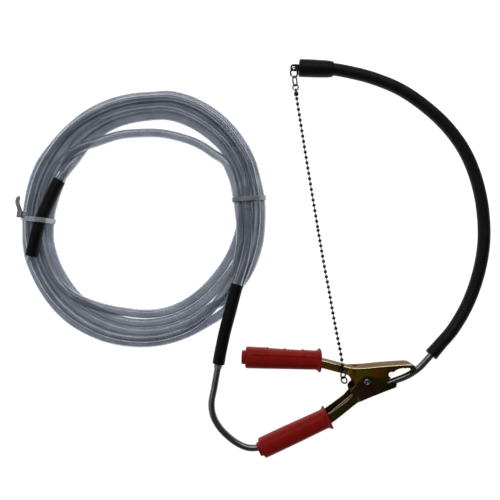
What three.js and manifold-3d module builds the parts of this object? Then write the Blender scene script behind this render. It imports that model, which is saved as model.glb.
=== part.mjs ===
// Transfer pipe set: a spring clamp that holds a bent steel pipe, with a capped
// rubber hose on one end of the pipe and a coiled clear hose on the other.
//
// Millimetres. Z = 0 is the surface that the set lies on. The origin is the foot of
// the clamp's pivot axis, +X runs towards the jaws and +Y towards the hose cap.

import * as THREE from 'three';
import { mergeVertices } from 'three/addons/utils/BufferGeometryUtils.js';
import Module from 'manifold-3d';

const wasm = await Module();
wasm.setup();

// Driving dimensions.
const MID = 13;                  // height of the clamp's middle plane
const GAP = 0.3;                 // clearance between neighbouring pieces
const SHEET = 1.2;               // thickness of the pressed arms
const LOWER_EAR_HALF = 11.3;     // half width over the lower arm's ears
const UPPER_EAR_HALF = 9.6;      // half width over the upper arm's ears, inside the others
const HANDLE_HALF = 7.25;        // half width over either handle channel
const RIVET_RADIUS = 2.5;
const PIPE_RADIUS = 3;
const PIPE_BORE = 2;
const DELIVERY_RADIUS = 5.5;     // black hose
const CLEAR_RADIUS = 4;          // clear hose
const HOSE_BORE = 3.5;           // both hoses slip over the pipe
const SLEEVE_RADIUS = 5.5;
const SLEEVE_BORE = 4.55;
const INSERTION = 14;            // length of pipe inside each hose
const PIPE_STEPS = 62;
const BEAD_RADIUS = 1.6;         // ball chain
const RING_WIRE = 0.5;           // wire radius of the tether's rings
const COIL_CENTRE = [-199.7, 143.8];
const COIL_HALF_X = 107.1;
const COIL_HALF_Y = 115.3;
const COIL_SECTION = 24;         // width of the bundle of turns
const COIL_HEIGHT = 17;
const TIE_WIDTH = 4.2;
const TIE_THICK = 1.1;
const CAP_LENGTH = 31;
const CAP_BORE_DEPTH = 27;
const FAR = 400;                 // larger than anything that is cut
const FREE_FIT = 0.4;            // clearance round the pipe, the rivet and the cap's bore
const HOSE_SIDES = 12;
const DELIVERY_STEPS = 32;       // lengths of tube that each route is made of
const LEAD_STEPS = 12;
const STRAY_STEPS = 10;
const TAIL_STEPS = 9;
const SLEEVE_STEPS = 8;
const CHAIN_STEPS = 14;
const SPRING_STEPS = 88;

// Materials.
function finish(color, roughness, metalness) {
  return new THREE.MeshStandardMaterial({ color, roughness, metalness });
}
const ZINC = finish(0x8a7a3c, 0.4, 0.9);
const STEEL = finish(0x9a9a98, 0.3, 1.0);
const GRIP = finish(0x8f1f1c, 0.5, 0.0);
const RUBBER = finish(0x121214, 0.7, 0.0);
const CLEAR = finish(0xa9b0ba, 0.2, 0.0);
const NYLON = finish(0xb8bcc0, 0.4, 0.0);

const set = new THREE.Group();

function piece(name, geometry, material) {
  const mesh = new THREE.Mesh(geometry, material);
  mesh.name = name;
  set.add(mesh);
  return mesh;
}

// Solid modelling helpers.
function solidOf(geometry) {
  const bare = geometry.clone();
  bare.deleteAttribute('normal');
  bare.deleteAttribute('uv');
  const merged = mergeVertices(bare, 1e-4);
  const mesh = new wasm.Mesh({
    numProp: 3,
    vertProperties: Float32Array.from(merged.attributes.position.array),
    triVerts: Uint32Array.from(merged.index.array),
  });
  return new wasm.Manifold(mesh);
}

function geometryOf(solid) {
  const mesh = solid.getMesh();
  const geometry = new THREE.BufferGeometry();
  geometry.setAttribute('position', new THREE.BufferAttribute(mesh.vertProperties, 3));
  geometry.setIndex(new THREE.BufferAttribute(mesh.triVerts, 1));
  geometry.computeVertexNormals();
  return geometry;
}

function join(...geometries) {
  return geometryOf(geometries.map(solidOf).reduce((whole, next) => whole.add(next)));
}

function outline(points) {
  return new THREE.Shape(points.map(([x, y]) => new THREE.Vector2(x, y)));
}

// A side outline (x, y), extruded over the heights from z0 to z1.
function slab(shape, z0, z1) {
  const geometry = new THREE.ExtrudeGeometry(shape, {
    depth: z1 - z0, bevelEnabled: false, curveSegments: 8,
  });
  return geometry.translate(0, 0, z0);
}

// A plan outline (x, z) about the middle plane, extruded along y and turned about Z.
function planSlab(points, turn) {
  const geometry = new THREE.ExtrudeGeometry(outline(points), { depth: FAR, bevelEnabled: false });
  return geometry.rotateX(Math.PI / 2).translate(0, FAR / 2, MID).rotateZ(turn);
}

function circleShape(radius, sides, bore = 0, boreSides = sides) {
  const round = (r, n) => Array.from({ length: n }, (_, i) => new THREE.Vector2(
    r * Math.cos(2 * Math.PI * i / n), r * Math.sin(2 * Math.PI * i / n)));
  const shape = new THREE.Shape(round(radius, sides));
  if (bore > 0) {
    shape.holes.push(new THREE.Path(round(bore, boreSides)));
  }
  return shape;
}

function vectors(points) {
  return points.map((p) => new THREE.Vector3(...p));
}

function route(points) {
  const curve = new THREE.CatmullRomCurve3(vectors(points), false, 'centripetal');
  curve.arcLengthDivisions = 600;
  return curve;
}

function tube(curve, shape, steps) {
  return new THREE.ExtrudeGeometry(shape, { steps, bevelEnabled: false, extrudePath: curve });
}

// The part of a curve between two distances from its start.
class Stretch extends THREE.Curve {
  constructor(curve, from, to) {
    super();
    this.curve = curve;
    this.start = from / curve.getLength();
    this.end = to / curve.getLength();
  }

  getPoint(t, target = new THREE.Vector3()) {
    return target.copy(this.curve.getPointAt(this.start + (this.end - this.start) * t));
  }
}

// A line of points moved sideways, to the left of its direction, by a distance.
function offsetLine(points, distance) {
  return points.map((point, i) => {
    const before = points[Math.max(i - 1, 0)];
    const after = points[Math.min(i + 1, points.length - 1)];
    const one = new THREE.Vector2(point[0] - before[0], point[1] - before[1]).normalize();
    const two = new THREE.Vector2(after[0] - point[0], after[1] - point[1]).normalize();
    const along = one.clone().add(two).normalize();
    const spread = Math.max(0.6, along.dot(i === 0 ? two : one));
    return [point[0] - along.y * distance / spread, point[1] + along.x * distance / spread];
  });
}

// Steel pipe, from inside the clear hose to inside the delivery hose.
const REAR_MOUTH = new THREE.Vector3(-131.9, 10.7, 13.7);     // clear hose's mouth
const REAR_WAY = new THREE.Vector3(0.17, 0.985, 0.04).normalize();
const FRONT_MOUTH = new THREE.Vector3(59.9, 21.7, 12.8);      // delivery hose's mouth
const FRONT_WAY = new THREE.Vector3(0.665, 0.746, -0.04).normalize();

function beyond(mouth, way, distance) {
  return mouth.clone().addScaledVector(way, distance).toArray();
}

const pipeRoute = route([
  beyond(REAR_MOUTH, REAR_WAY, INSERTION),
  beyond(REAR_MOUTH, REAR_WAY, INSERTION / 2),
  REAR_MOUTH.toArray(),
  [-135.2, -8, 13], [-137.6, -21.5, MID], [-136.4, -32, MID], [-130.9, -42.8, MID],
  [-121, -53, MID], [-112, -59, MID], [-104.5, -61.7, MID], [-98, -61.9, MID],
  [-91.5, -60.4, MID], [-80, -55.2, MID], [-59.8, -46.6, MID], [-44.8, -39.9, MID],
  [-31.2, -33.2, MID], [-19.9, -24.2, MID], [-8.7, -15.1, MID], [-3.5, -11.8, MID],
  [1.9, -9.7, MID], [10.5, -7.1, MID], [19.4, -4.3, MID], [29.3, -0.7, MID],
  [36.05, 1.9, MID], [41.9, 4.9, MID], [49.55, 10.45, MID], [54.5, 15.6, MID],
  FRONT_MOUTH.toArray(),
  beyond(FRONT_MOUTH, FRONT_WAY, INSERTION / 2),
  beyond(FRONT_MOUTH, FRONT_WAY, INSERTION),
]);

function steelPipe() {
  return tube(pipeRoute, circleShape(PIPE_RADIUS, 12, PIPE_BORE, 6), PIPE_STEPS);
}

const pipeClearance = solidOf(
  tube(pipeRoute, circleShape(PIPE_RADIUS + FREE_FIT, 12), PIPE_STEPS));

// Clamp arms. Each is a channel: a web along one edge of the side outline and two
// flanges, wide over the ears and jaw and set inwards to a narrow handle.
const HANDLE_ENDS = -18;             // along the plan: where the handle starts to widen
const EARS_START = -12;              // and where it is as wide as the ears

function channel(web, flangeEdge, planTurn, earHalf, webOffset, openSide) {
  const inside = offsetLine(web, webOffset);
  const first = inside[0];
  const last = inside[inside.length - 1];
  const cavity = [[-FAR, first[1]], ...inside, [last[0], openSide * FAR], [-FAR, openSide * FAR]];
  const plan = (half, handle) => [
    [-FAR, -handle], [HANDLE_ENDS, -handle], [EARS_START, -half], [FAR, -half],
    [FAR, half], [EARS_START, half], [HANDLE_ENDS, handle], [-FAR, handle],
  ];
  const outer = solidOf(slab(outline([...web, ...flangeEdge]), -FAR, FAR))
    .intersect(solidOf(planSlab(plan(earHalf, HANDLE_HALF), planTurn)));
  const inner = solidOf(slab(outline(cavity), -FAR, FAR))
    .intersect(solidOf(planSlab(plan(earHalf - SHEET, HANDLE_HALF - SHEET), planTurn)));
  return outer.subtract(inner);
}

const rivetHole = solidOf(slab(circleShape(RIVET_RADIUS + FREE_FIT, 20), -FAR, FAR));

const UPPER_WEB = [
  [-100, 23], [-48, 20.9], [-43.5, 19.7], [-27.9, 15.8], [-17, 12.8], [-14, 12.1], [-7.6, 12],
  [2.7, 12.6], [11.5, 13.7], [37.9, 15.6], [41.4, 14.8], [43.6, 13.3], [44.6, 11.4],
  [44.5, 9.2], [43.4, 7.8],
];
const UPPER_FLANGE_EDGE = [
  [40.9, 8.1], [38.9, 9.4], [38.9, 11.4], [37, 12.3], [34, 11.5], [32, 12], [29.7, 11.4],
  [27.5, 10.7], [25.6, 9.8], [24, 8.1], [22, 8.6], [20.2, 8.1], [18.7, 6.2], [19.3, 3.6],
  [20.2, 1.2], [16, -2.6], [10, -6.4], [3, -8.7], [-3.5, -8.4], [-8, -6.9],
  [-10, -4.2], [-11.1, -0.7], [-13.3, 2.3], [-16.1, 5.6], [-24.2, 7.5], [-38.8, 11.3],
  [-44, 12.7], [-100, 15.1],
];
const UPPER_PLAN_TURN = -0.17;
const HOLE_IN_HANDLE = [-20.2, 9.6];
const HANDLE_HOLE_RADIUS = 1.75;
const HOLE_IN_WEB = [-8.4, 12.3];    // (x, z)
const WEB_HOLE_RADIUS = 2.8;

function upperArm() {
  const arm = channel(UPPER_WEB, UPPER_FLANGE_EDGE, UPPER_PLAN_TURN, UPPER_EAR_HALF, -SHEET, -1);
  const ringHole = slab(circleShape(HANDLE_HOLE_RADIUS, 14), MID, FAR)
    .translate(...HOLE_IN_HANDLE, 0);
  const webHole = slab(circleShape(WEB_HOLE_RADIUS, 14), -FAR, 0).rotateX(Math.PI / 2)
    .translate(HOLE_IN_WEB[0], 0, HOLE_IN_WEB[1]);
  return geometryOf(arm
    .subtract(rivetHole)
    .subtract(solidOf(ringHole))
    .subtract(solidOf(webHole))
    .subtract(pipeClearance));
}

const LOWER_WEB = [
  [-82.3, -61.3], [-37.2, -41.3], [-33, -39.4], [-28.5, -36.6], [-5.9, -18.4],
  [-2.6, -16.2], [17.3, -8.3], [25.4, -5.2],
];
const LOWER_FLANGE_EDGE = [
  [26.2, -3], [26.2, -1.2], [25.3, 0.3], [20, -1.2], [15.8, -1], [13.2, 0.8], [7.1, 3.5],
  [3, 4.5], [-0.6, 4.6], [-3, 3.5], [-5.3, 0.8], [-8.8, -2.7], [-12.4, -5.1], [-13.2, -9],
  [-11.5, -14.2], [-32.2, -29.8], [-40.3, -33.9], [-85.6, -54.1],
];
const LOWER_PLAN_TURN = 0.6;
// Along the handle the rear flange stands taller than the front one.
const REAR_FLANGE_TOP = [
  [-36.9, -32.1], [-38.4, -29.5], [-33.8, -27.5], [-13.2, -11.9], [-12.2, -14.9], [-32.2, -30],
];

function lowerArm() {
  const rearTop = slab(outline(REAR_FLANGE_TOP), MID - HANDLE_HALF, MID - HANDLE_HALF + SHEET);
  const arm = channel(LOWER_WEB, LOWER_FLANGE_EDGE, LOWER_PLAN_TURN, LOWER_EAR_HALF, SHEET, 1)
    .add(solidOf(rearTop));
  return geometryOf(arm.subtract(rivetHole).subtract(pipeClearance));
}

// Rivet: flat head at the foot, formed head with a dimple at the top.
function pivotRivet() {
  const ear = MID - LOWER_EAR_HALF;
  const top = 2 * MID;
  const profile = [
    [0, 0], [4.2, 0], [4.5, 0.3], [4.5, ear - GAP], [RIVET_RADIUS, ear - GAP],
    [RIVET_RADIUS, top - ear + GAP], [2.85, top - ear + GAP], [2.85, top - 0.6], [2.2, top],
    [1.5, top], [1, top - 1.6], [0, top - 1.9],
  ].map(([r, z]) => new THREE.Vector2(r, z));
  return new THREE.LatheGeometry(profile, 20).rotateX(Math.PI / 2);
}

// Torsion spring round the rivet: lower leg, coil turning up the axis, upper leg.
const SPRING_RADIUS = 4.6;
const SPRING_WIRE = 0.9;
const SPRING_HALF = 4.5;
const SPRING_FROM = THREE.MathUtils.degToRad(-47.1);
const SPRING_TURN = THREE.MathUtils.degToRad(119.9 + 4 * 360);
const LOWER_LEG_TIP = [-25.5, -29.6];
const UPPER_LEG_TIP = [-24, 12.1];

class SpringWire extends THREE.Curve {
  constructor() {
    super();
    this.coil = SPRING_RADIUS * SPRING_TURN;
    this.lowerFoot = this.onCoil(0);
    this.upperFoot = this.onCoil(1);
    this.lowerTip = new THREE.Vector3(...LOWER_LEG_TIP, MID - SPRING_HALF);
    this.upperTip = new THREE.Vector3(...UPPER_LEG_TIP, MID + SPRING_HALF);
    this.lowerLeg = this.lowerTip.distanceTo(this.lowerFoot);
    this.upperLeg = this.upperTip.distanceTo(this.upperFoot);
    this.whole = this.lowerLeg + this.coil + this.upperLeg;
  }

  onCoil(share) {
    const angle = SPRING_FROM + share * SPRING_TURN;
    return new THREE.Vector3(
      SPRING_RADIUS * Math.cos(angle), SPRING_RADIUS * Math.sin(angle),
      MID - SPRING_HALF + 2 * SPRING_HALF * share);
  }

  getPoint(t, target = new THREE.Vector3()) {
    const along = t * this.whole;
    if (along < this.lowerLeg) {
      return target.copy(this.lowerTip).lerp(this.lowerFoot, along / this.lowerLeg);
    }
    if (along < this.lowerLeg + this.coil) {
      return target.copy(this.onCoil((along - this.lowerLeg) / this.coil));
    }
    const left = (along - this.lowerLeg - this.coil) / this.upperLeg;
    return target.copy(this.upperFoot).lerp(this.upperTip, left);
  }
}

function jawSpring() {
  return tube(new SpringWire(), circleShape(SPRING_WIRE, 6), SPRING_STEPS);
}

// Grips: a turned body with a front flange, flattened to an oval, on its handle.
const UPPER_GRIP_FRONT = [-39.5, 17];
const UPPER_GRIP_BACK = [-110.8, 19.9];
const LOWER_GRIP_FRONT = [-32.3, -33.9];
const LOWER_GRIP_BACK = [-95.1, -63.3];
const GRIP_DEPTH_RATIO = 1.18;       // depth over height of the oval
const FLANGE = [[0, 0], [9.6, 0], [10.4, 0.8], [10.3, 1.8], [9.3, 2.8], [8.4, 4.4], [8.4, 18]];
const pocketFront = MID + HANDLE_HALF + GAP;
const pocketBack = MID - HANDLE_HALF - GAP;

function gripBody(front, back, profile) {
  const way = new THREE.Vector2(back[0] - front[0], back[1] - front[1]);
  const points = profile(way.length()).map(([r, s]) => new THREE.Vector2(r, s));
  const turned = new THREE.LatheGeometry(points, 24);
  return turned.scale(1, 1, GRIP_DEPTH_RATIO)
    .rotateZ(way.angle() - Math.PI / 2)
    .translate(front[0], front[1], MID);
}

function upperGrip() {
  const body = gripBody(UPPER_GRIP_FRONT, UPPER_GRIP_BACK, (length) => [
    ...FLANGE, [9.2, length - 9], [9.1, length - 5], [8.6, length - 3.8], [6.1, length - 3.6],
    [6, length - 0.6], [5.4, length], [0, length],
  ]);
  const pocket = slab(outline([
    [-30, 8.2], [-44.1, 12.3], [-100.4, 14.7], [-100.4, 23.5], [-47.9, 21.3], [-43.4, 20.1],
    [-30, 16.9],
  ]), pocketBack, pocketFront);
  return geometryOf(solidOf(body).subtract(solidOf(pocket)));
}

function lowerGrip() {
  const body = gripBody(LOWER_GRIP_FRONT, LOWER_GRIP_BACK, (length) => [
    ...FLANGE, [8.85, length - 9], [8.8, length - 4], [8.4, length - 3.1], [6.4, length - 2.9],
    [6.1, length - 0.4], [5.7, length], [0, length],
  ]);
  const pocket = slab(outline([
    [-20, -31.5], [-33.1, -40], [-37.2, -41.8], [-82.9, -61.9], [-86.4, -54.2], [-40.5, -33.1],
    [-38.8, -29], [-33.8, -26.6], [-24, -19],
  ]), pocketBack, pocketFront);
  return geometryOf(solidOf(body).subtract(solidOf(pocket)).subtract(pipeClearance));
}

// Hoses and sleeves.
const CAP_MOUTH = new THREE.Vector3(-27.5, 280.55, 7.8);
const CAP_WAY = new THREE.Vector3(-0.99926, 0.0386, 0).normalize();

const deliveryRoute = route([
  FRONT_MOUTH.toArray(),
  beyond(FRONT_MOUTH, FRONT_WAY, INSERTION / 2),
  beyond(FRONT_MOUTH, FRONT_WAY, INSERTION),
  [79.5, 43.1, 10.4], [91.4, 60.2, 7.6], [99.9, 77.6, 6.1], [106.5, 98.3, 5.6],
  [109.8, 116.2, 5.5], [110.8, 133.1, 5.5], [108.6, 159.3, 5.5], [102.7, 183.8, 5.5],
  [93.5, 205.5, 5.5], [80, 225.2, 5.5], [62.3, 243, 5.5], [35.8, 261.9, 5.6],
  [8.8, 273, 6.2], [-11.9, 278, 7.2],
  beyond(CAP_MOUTH, CAP_WAY, 0),
  beyond(CAP_MOUTH, CAP_WAY, 13),
  beyond(CAP_MOUTH, CAP_WAY, CAP_BORE_DEPTH - 1),
]);

const leadRoute = route([
  REAR_MOUTH.toArray(),
  beyond(REAR_MOUTH, REAR_WAY, INSERTION / 2),
  beyond(REAR_MOUTH, REAR_WAY, INSERTION),
  [-125.5, 43, 17], [-120.5, 62, 21], [-114.4, 85.8, 23.6], [-108.5, 107, 22.8],
  [-105.5, 124, 21.4],
]);
const LEAD_BARE = 3.5;               // clear hose showing below the joint sleeve
const JOINT_SLEEVE_LENGTH = 74;
const SPARE_SLEEVE_LENGTH = 72;

const tailRoute = route([
  [-262.5, 196, 21.4], [-267.8, 187.5, 22.2], [-273.9, 177, 22.8], [-279.8, 161.6, 22.8],
  [-285.6, 146, 22.8], [-290.1, 131.5, 22.8], [-294.5, 110.6, 22.8], [-295.3, 105.9, 22.8],
]);
const TAIL_BARE = 4.8;               // clear hose showing past the spare sleeve

const strayRoute = route([
  [-262, 196.5, 4], [-250.5, 206.5, 4], [-238, 214.3, 4], [-222, 220.4, 4], [-198.6, 223.6, 4],
  [-176.3, 221.6, 4], [-154, 214, 4],
]);

function hose(curve, radius, steps) {
  return tube(curve, circleShape(radius, HOSE_SIDES, HOSE_BORE, 10), steps);
}

function sleeve(curve, from, length) {
  const shape = circleShape(SLEEVE_RADIUS, HOSE_SIDES, SLEEVE_BORE, 10);
  return tube(new Stretch(curve, from, from + length), shape, SLEEVE_STEPS);
}

// Coil of clear hose: the outer shape of its turns, with a groove under each tie.
function roundedRectangle(x0, x1, y0, y1, radius) {
  const shape = new THREE.Shape();
  shape.moveTo(x0 + radius, y0);
  shape.lineTo(x1 - radius, y0);
  shape.quadraticCurveTo(x1, y0, x1, y0 + radius);
  shape.lineTo(x1, y1 - radius);
  shape.quadraticCurveTo(x1, y1, x1 - radius, y1);
  shape.lineTo(x0 + radius, y1);
  shape.quadraticCurveTo(x0, y1, x0, y1 - radius);
  shape.lineTo(x0, y0 + radius);
  shape.quadraticCurveTo(x0, y0, x0 + radius, y0);
  return shape;
}

function coilRing() {
  const inner = COIL_HALF_Y - COIL_SECTION;
  const profile = roundedRectangle(inner, COIL_HALF_Y, 0, COIL_HEIGHT, 6).getPoints(2);
  profile[profile.length - 1] = profile[0].clone();
  return new THREE.LatheGeometry(profile, 56).rotateX(Math.PI / 2)
    .scale(COIL_HALF_X / COIL_HALF_Y, 1, 1)
    .translate(...COIL_CENTRE, 0);
}

// Cable ties. A tie's band is a loop in a plane across the bundle: u runs outwards
// from the bundle's middle towards +X, and the loop is extruded along the bundle.
const LEFT_TIE = { at: [-294.6, 143.6], turn: -0.11 };
const RIGHT_TIE = { at: [-105.4, 162.3], turn: 0.09 };
const LEFT_LOOP = [
  [-12.2, 0], [12, 0], [14, 2], [16.6, 21], [15.4, 26.8], [11, 30.2], [6, 30.4], [2, 28.6],
  [-11, 18.6], [-13.7, 14.5], [-14, 2],
];
const RIGHT_LOOP = [
  [-10.2, 0], [10.2, 0], [12.2, 2], [12.2, 14.5], [9.6, 17.6], [-9.6, 17.6], [-12.2, 14.5],
  [-12.2, 2],
];

function loopBand(loop, grow, width) {
  const closed = [loop[loop.length - 1], ...loop, loop[0]];
  const inset = (distance) => offsetLine(closed, distance).slice(1, -1);
  const shape = outline(inset(-grow));
  shape.holes.push(new THREE.Path(outline(inset(TIE_THICK + grow)).getPoints()));
  const geometry = new THREE.ExtrudeGeometry(shape, { depth: width, bevelEnabled: false });
  return geometry.translate(0, 0, -width / 2).rotateX(Math.PI / 2);
}

function place(geometry, tie) {
  return geometry.rotateZ(tie.turn).translate(...tie.at, 0);
}

function cableTie(loop, tie, headAt, tail) {
  const head = new THREE.BoxGeometry(4.6, TIE_WIDTH + 1.6, 4.2).translate(...headAt);
  const strip = tube(route(tail), outline([[-1.7, -0.5], [1.7, -0.5], [1.7, 0.5], [-1.7, 0.5]]), 12);
  return place(join(loopBand(loop, 0, TIE_WIDTH), head, strip), tie);
}

function clearHoseCoil() {
  const groove = (loop, tie) => solidOf(place(loopBand(loop, GAP, TIE_WIDTH + 1), tie));
  return geometryOf(solidOf(coilRing())
    .subtract(groove(LEFT_LOOP, LEFT_TIE))
    .subtract(groove(RIGHT_LOOP, RIGHT_TIE)));
}

// End cap: a socket that the delivery hose pushes into, with a holed tab.
const TAB_HOLE = new THREE.Vector3(-63.4, 281.95, 7.8);
const TAB_HOLE_RADIUS = 1.75;
const TAB_THICK = 2;
const TAB_HALF = 3.1;
const TAB_REACH = 6;                 // from the tab's hole into the cap's closed end
const TAB_ROUND = 0.6;               // from the hole to the middle of the tab's round end

function endCap() {
  const profile = [
    [0, CAP_BORE_DEPTH], [DELIVERY_RADIUS + FREE_FIT, CAP_BORE_DEPTH],
    [DELIVERY_RADIUS + FREE_FIT, 0],
    [6.7, 0], [7.1, 2], [7.4, 4.6], [7.8, 14], [7.8, CAP_LENGTH - 0.8], [7.1, CAP_LENGTH],
    [0, CAP_LENGTH],
  ].map(([r, s]) => new THREE.Vector2(r, s));
  const body = new THREE.LatheGeometry(profile, 24);
  const turn = Math.atan2(CAP_WAY.y, CAP_WAY.x);
  body.rotateZ(turn - Math.PI / 2).translate(...CAP_MOUTH.toArray());

  const plate = new THREE.Shape();
  plate.moveTo(-TAB_REACH, -TAB_HALF);
  plate.lineTo(TAB_ROUND, -TAB_HALF);
  plate.absarc(TAB_ROUND, 0, TAB_HALF, -Math.PI / 2, Math.PI / 2, false);
  plate.lineTo(-TAB_REACH, TAB_HALF);
  const hole = new THREE.Path();
  hole.absarc(0, 0, TAB_HOLE_RADIUS, 0, 2 * Math.PI, true);
  plate.holes.push(hole);
  const tab = slab(plate, -TAB_THICK / 2, TAB_THICK / 2);
  tab.rotateZ(turn).translate(...TAB_HOLE.toArray());
  return join(body, tab);
}

// Rings of the tether. A ring is centred on a point, and its plane holds the
// direction along the tether and a second direction across it.
function ring(centre, along, across, radius, wire = RING_WIRE, sides = 6, steps = 16) {
  const x = along.clone().normalize();
  const z = new THREE.Vector3().crossVectors(x, across).normalize();
  const y = new THREE.Vector3().crossVectors(z, x);
  const geometry = new THREE.TorusGeometry(radius, wire, sides, steps);
  geometry.applyMatrix4(new THREE.Matrix4().makeBasis(x, y, z));
  return geometry.translate(...centre.toArray());
}

const EYE_RADIUS = 1.4;
const EYE_WIRE = 0.45;
const BALL_RADIUS = 2.1;
const EYE_TO_BALL = 3.1;

function coupling(eyeCentre, along, across) {
  const ball = new THREE.SphereGeometry(BALL_RADIUS, 12, 8);
  ball.translate(...eyeCentre.clone().addScaledVector(along, EYE_TO_BALL).toArray());
  return join(ball, ring(eyeCentre, along, across, EYE_RADIUS, EYE_WIRE, 6, 12));
}

const CAP_TETHER = new THREE.Vector3(0.12, -0.97, -0.2).normalize();   // tab towards chain
const CAP_RING_RADIUS = 4.4;
const CAP_LINK_RADIUS = 4.3;
const CAP_SMALL_RADIUS = 2.6;
const HOOK = 2 * RING_WIRE + GAP;    // from one ring's wire to the next one's

function alongCapTether(distance) {
  return TAB_HOLE.clone().addScaledVector(CAP_TETHER, distance);
}

const ringAt = CAP_RING_RADIUS;
const linkAt = ringAt + CAP_RING_RADIUS - HOOK + CAP_LINK_RADIUS;
const smallAt = linkAt + CAP_LINK_RADIUS - HOOK + CAP_SMALL_RADIUS;
const capEyeAt = smallAt + CAP_SMALL_RADIUS;
const ACROSS_CAP_RING = new THREE.Vector3(0.574, 0, 0.819);
const ACROSS_CAP_LINK = new THREE.Vector3(-0.5, 0, 0.866);
const ACROSS_SMALL_RING = new THREE.Vector3(0.866, 0, 0.5);

const ARM_RING_RADIUS = 3.7;
const ARM_RING_CENTRE = new THREE.Vector3(
  HOLE_IN_HANDLE[0], HOLE_IN_HANDLE[1] - ARM_RING_RADIUS, MID + HANDLE_HALF - SHEET / 2);
const ACROSS_ARM_RING = new THREE.Vector3(-0.66, 0, 0.75).normalize();
const ARM_EYE_ANGLE = 0.75;          // round the ring from the hole to the coupling
const armEye = ARM_RING_CENTRE.clone()
  .add(new THREE.Vector3(0, ARM_RING_RADIUS * Math.cos(ARM_EYE_ANGLE), 0))
  .addScaledVector(ACROSS_ARM_RING, ARM_RING_RADIUS * Math.sin(ARM_EYE_ANGLE));
const CLAMP_TETHER = new THREE.Vector3(0.05, 0.82, 0.57).normalize();  // ring towards chain

// A second ring hangs in the arm's ring, square to it, below the handle.
const LOOSE_RING_RADIUS = 2.9;
const LOOSE_WAY = new THREE.Vector3(0.24, -0.97, 0).normalize();
const ACROSS_LOOSE_RING = new THREE.Vector3(0.75, 0, 0.66);
const looseRingCentre = ARM_RING_CENTRE.clone()
  .add(new THREE.Vector3(0, HOOK - ARM_RING_RADIUS, 0))
  .addScaledVector(LOOSE_WAY, LOOSE_RING_RADIUS);

// Ball chain, lying on the surface and climbing over the clamp's upper handle.
const CHAIN_START = 5.8;             // from a coupling's eye to the chain's first bead
const capChainStart = alongCapTether(capEyeAt + CHAIN_START);
const clampChainEnd = armEye.clone().addScaledVector(CLAMP_TETHER, CHAIN_START);
const CHAIN_MIDDLE = [-40.6, 136, BEAD_RADIUS];

function chain(points) {
  return tube(route(points), circleShape(BEAD_RADIUS, 8), CHAIN_STEPS);
}

const capChain = [
  capChainStart.toArray(), [-59, 249, 1.9], [-56.9, 236, BEAD_RADIUS],
  [-50.5, 196, BEAD_RADIUS], [CHAIN_MIDDLE[0], CHAIN_MIDDLE[1] + GAP / 2, BEAD_RADIUS],
];
const clampChain = [
  [CHAIN_MIDDLE[0], CHAIN_MIDDLE[1] - GAP / 2, BEAD_RADIUS], [-34.9, 103, 1.65],
  [-30.5, 79, 2.7], [-27.2, 56, 8.5], [-24.8, 38, 17], [-22.9, 24, 24],
  clampChainEnd.toArray(),
];

piece('lower_arm', lowerArm(), ZINC);
piece('upper_arm', upperArm(), ZINC);
piece('pivot_rivet', pivotRivet(), STEEL);
piece('jaw_spring', jawSpring(), STEEL);
piece('upper_grip', upperGrip(), GRIP);
piece('lower_grip', lowerGrip(), GRIP);
piece('steel_pipe', steelPipe(), STEEL);
piece('delivery_hose', hose(deliveryRoute, DELIVERY_RADIUS, DELIVERY_STEPS), RUBBER);
piece('joint_sleeve', sleeve(leadRoute, LEAD_BARE, JOINT_SLEEVE_LENGTH), RUBBER);
piece('clear_hose_lead', hose(leadRoute, CLEAR_RADIUS, LEAD_STEPS), CLEAR);
piece('clear_hose_coil', clearHoseCoil(), CLEAR);
piece('clear_hose_stray_turn', tube(strayRoute, circleShape(CLEAR_RADIUS, 10), STRAY_STEPS), CLEAR);
piece('clear_hose_tail', hose(tailRoute, CLEAR_RADIUS, TAIL_STEPS), CLEAR);
piece('spare_sleeve',
  sleeve(tailRoute, tailRoute.getLength() - TAIL_BARE - SPARE_SLEEVE_LENGTH, SPARE_SLEEVE_LENGTH), RUBBER);
piece('tie_left', cableTie(LEFT_LOOP, LEFT_TIE, [-15.8, 3, 13.2], [
  [-15, 4.2, 13.6], [-16.6, 9, 15], [-18.4, 14, 15.4], [-17.8, 19, 14.6],
]), NYLON);
piece('tie_right', cableTie(RIGHT_LOOP, RIGHT_TIE, [-14.3, 0, 8], [
  [-15.6, 1.5, 8.4], [-16.6, 5, 8.2], [-16.6, 8.5, 7.4],
]), NYLON);
piece('end_cap', endCap(), RUBBER);
piece('cap_ring', ring(alongCapTether(ringAt), CAP_TETHER, ACROSS_CAP_RING, CAP_RING_RADIUS), STEEL);
piece('cap_link', ring(alongCapTether(linkAt), CAP_TETHER, ACROSS_CAP_LINK, CAP_LINK_RADIUS), STEEL);
piece('cap_small_ring',
  ring(alongCapTether(smallAt), CAP_TETHER, ACROSS_SMALL_RING, CAP_SMALL_RADIUS), STEEL);
piece('chain_coupling_cap', coupling(alongCapTether(capEyeAt), CAP_TETHER, ACROSS_CAP_LINK), STEEL);
piece('ball_chain_cap_half', chain(capChain), STEEL);
piece('ball_chain_clamp_half', chain(clampChain), STEEL);
piece('chain_coupling_clamp', coupling(armEye, CLAMP_TETHER, new THREE.Vector3(1, 0, 0)), STEEL);
piece('arm_ring',
  ring(ARM_RING_CENTRE, new THREE.Vector3(0, 1, 0), ACROSS_ARM_RING, ARM_RING_RADIUS), STEEL);
piece('arm_loose_ring',
  ring(looseRingCentre, LOOSE_WAY, ACROSS_LOOSE_RING, LOOSE_RING_RADIUS), STEEL);

export default set;
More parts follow.
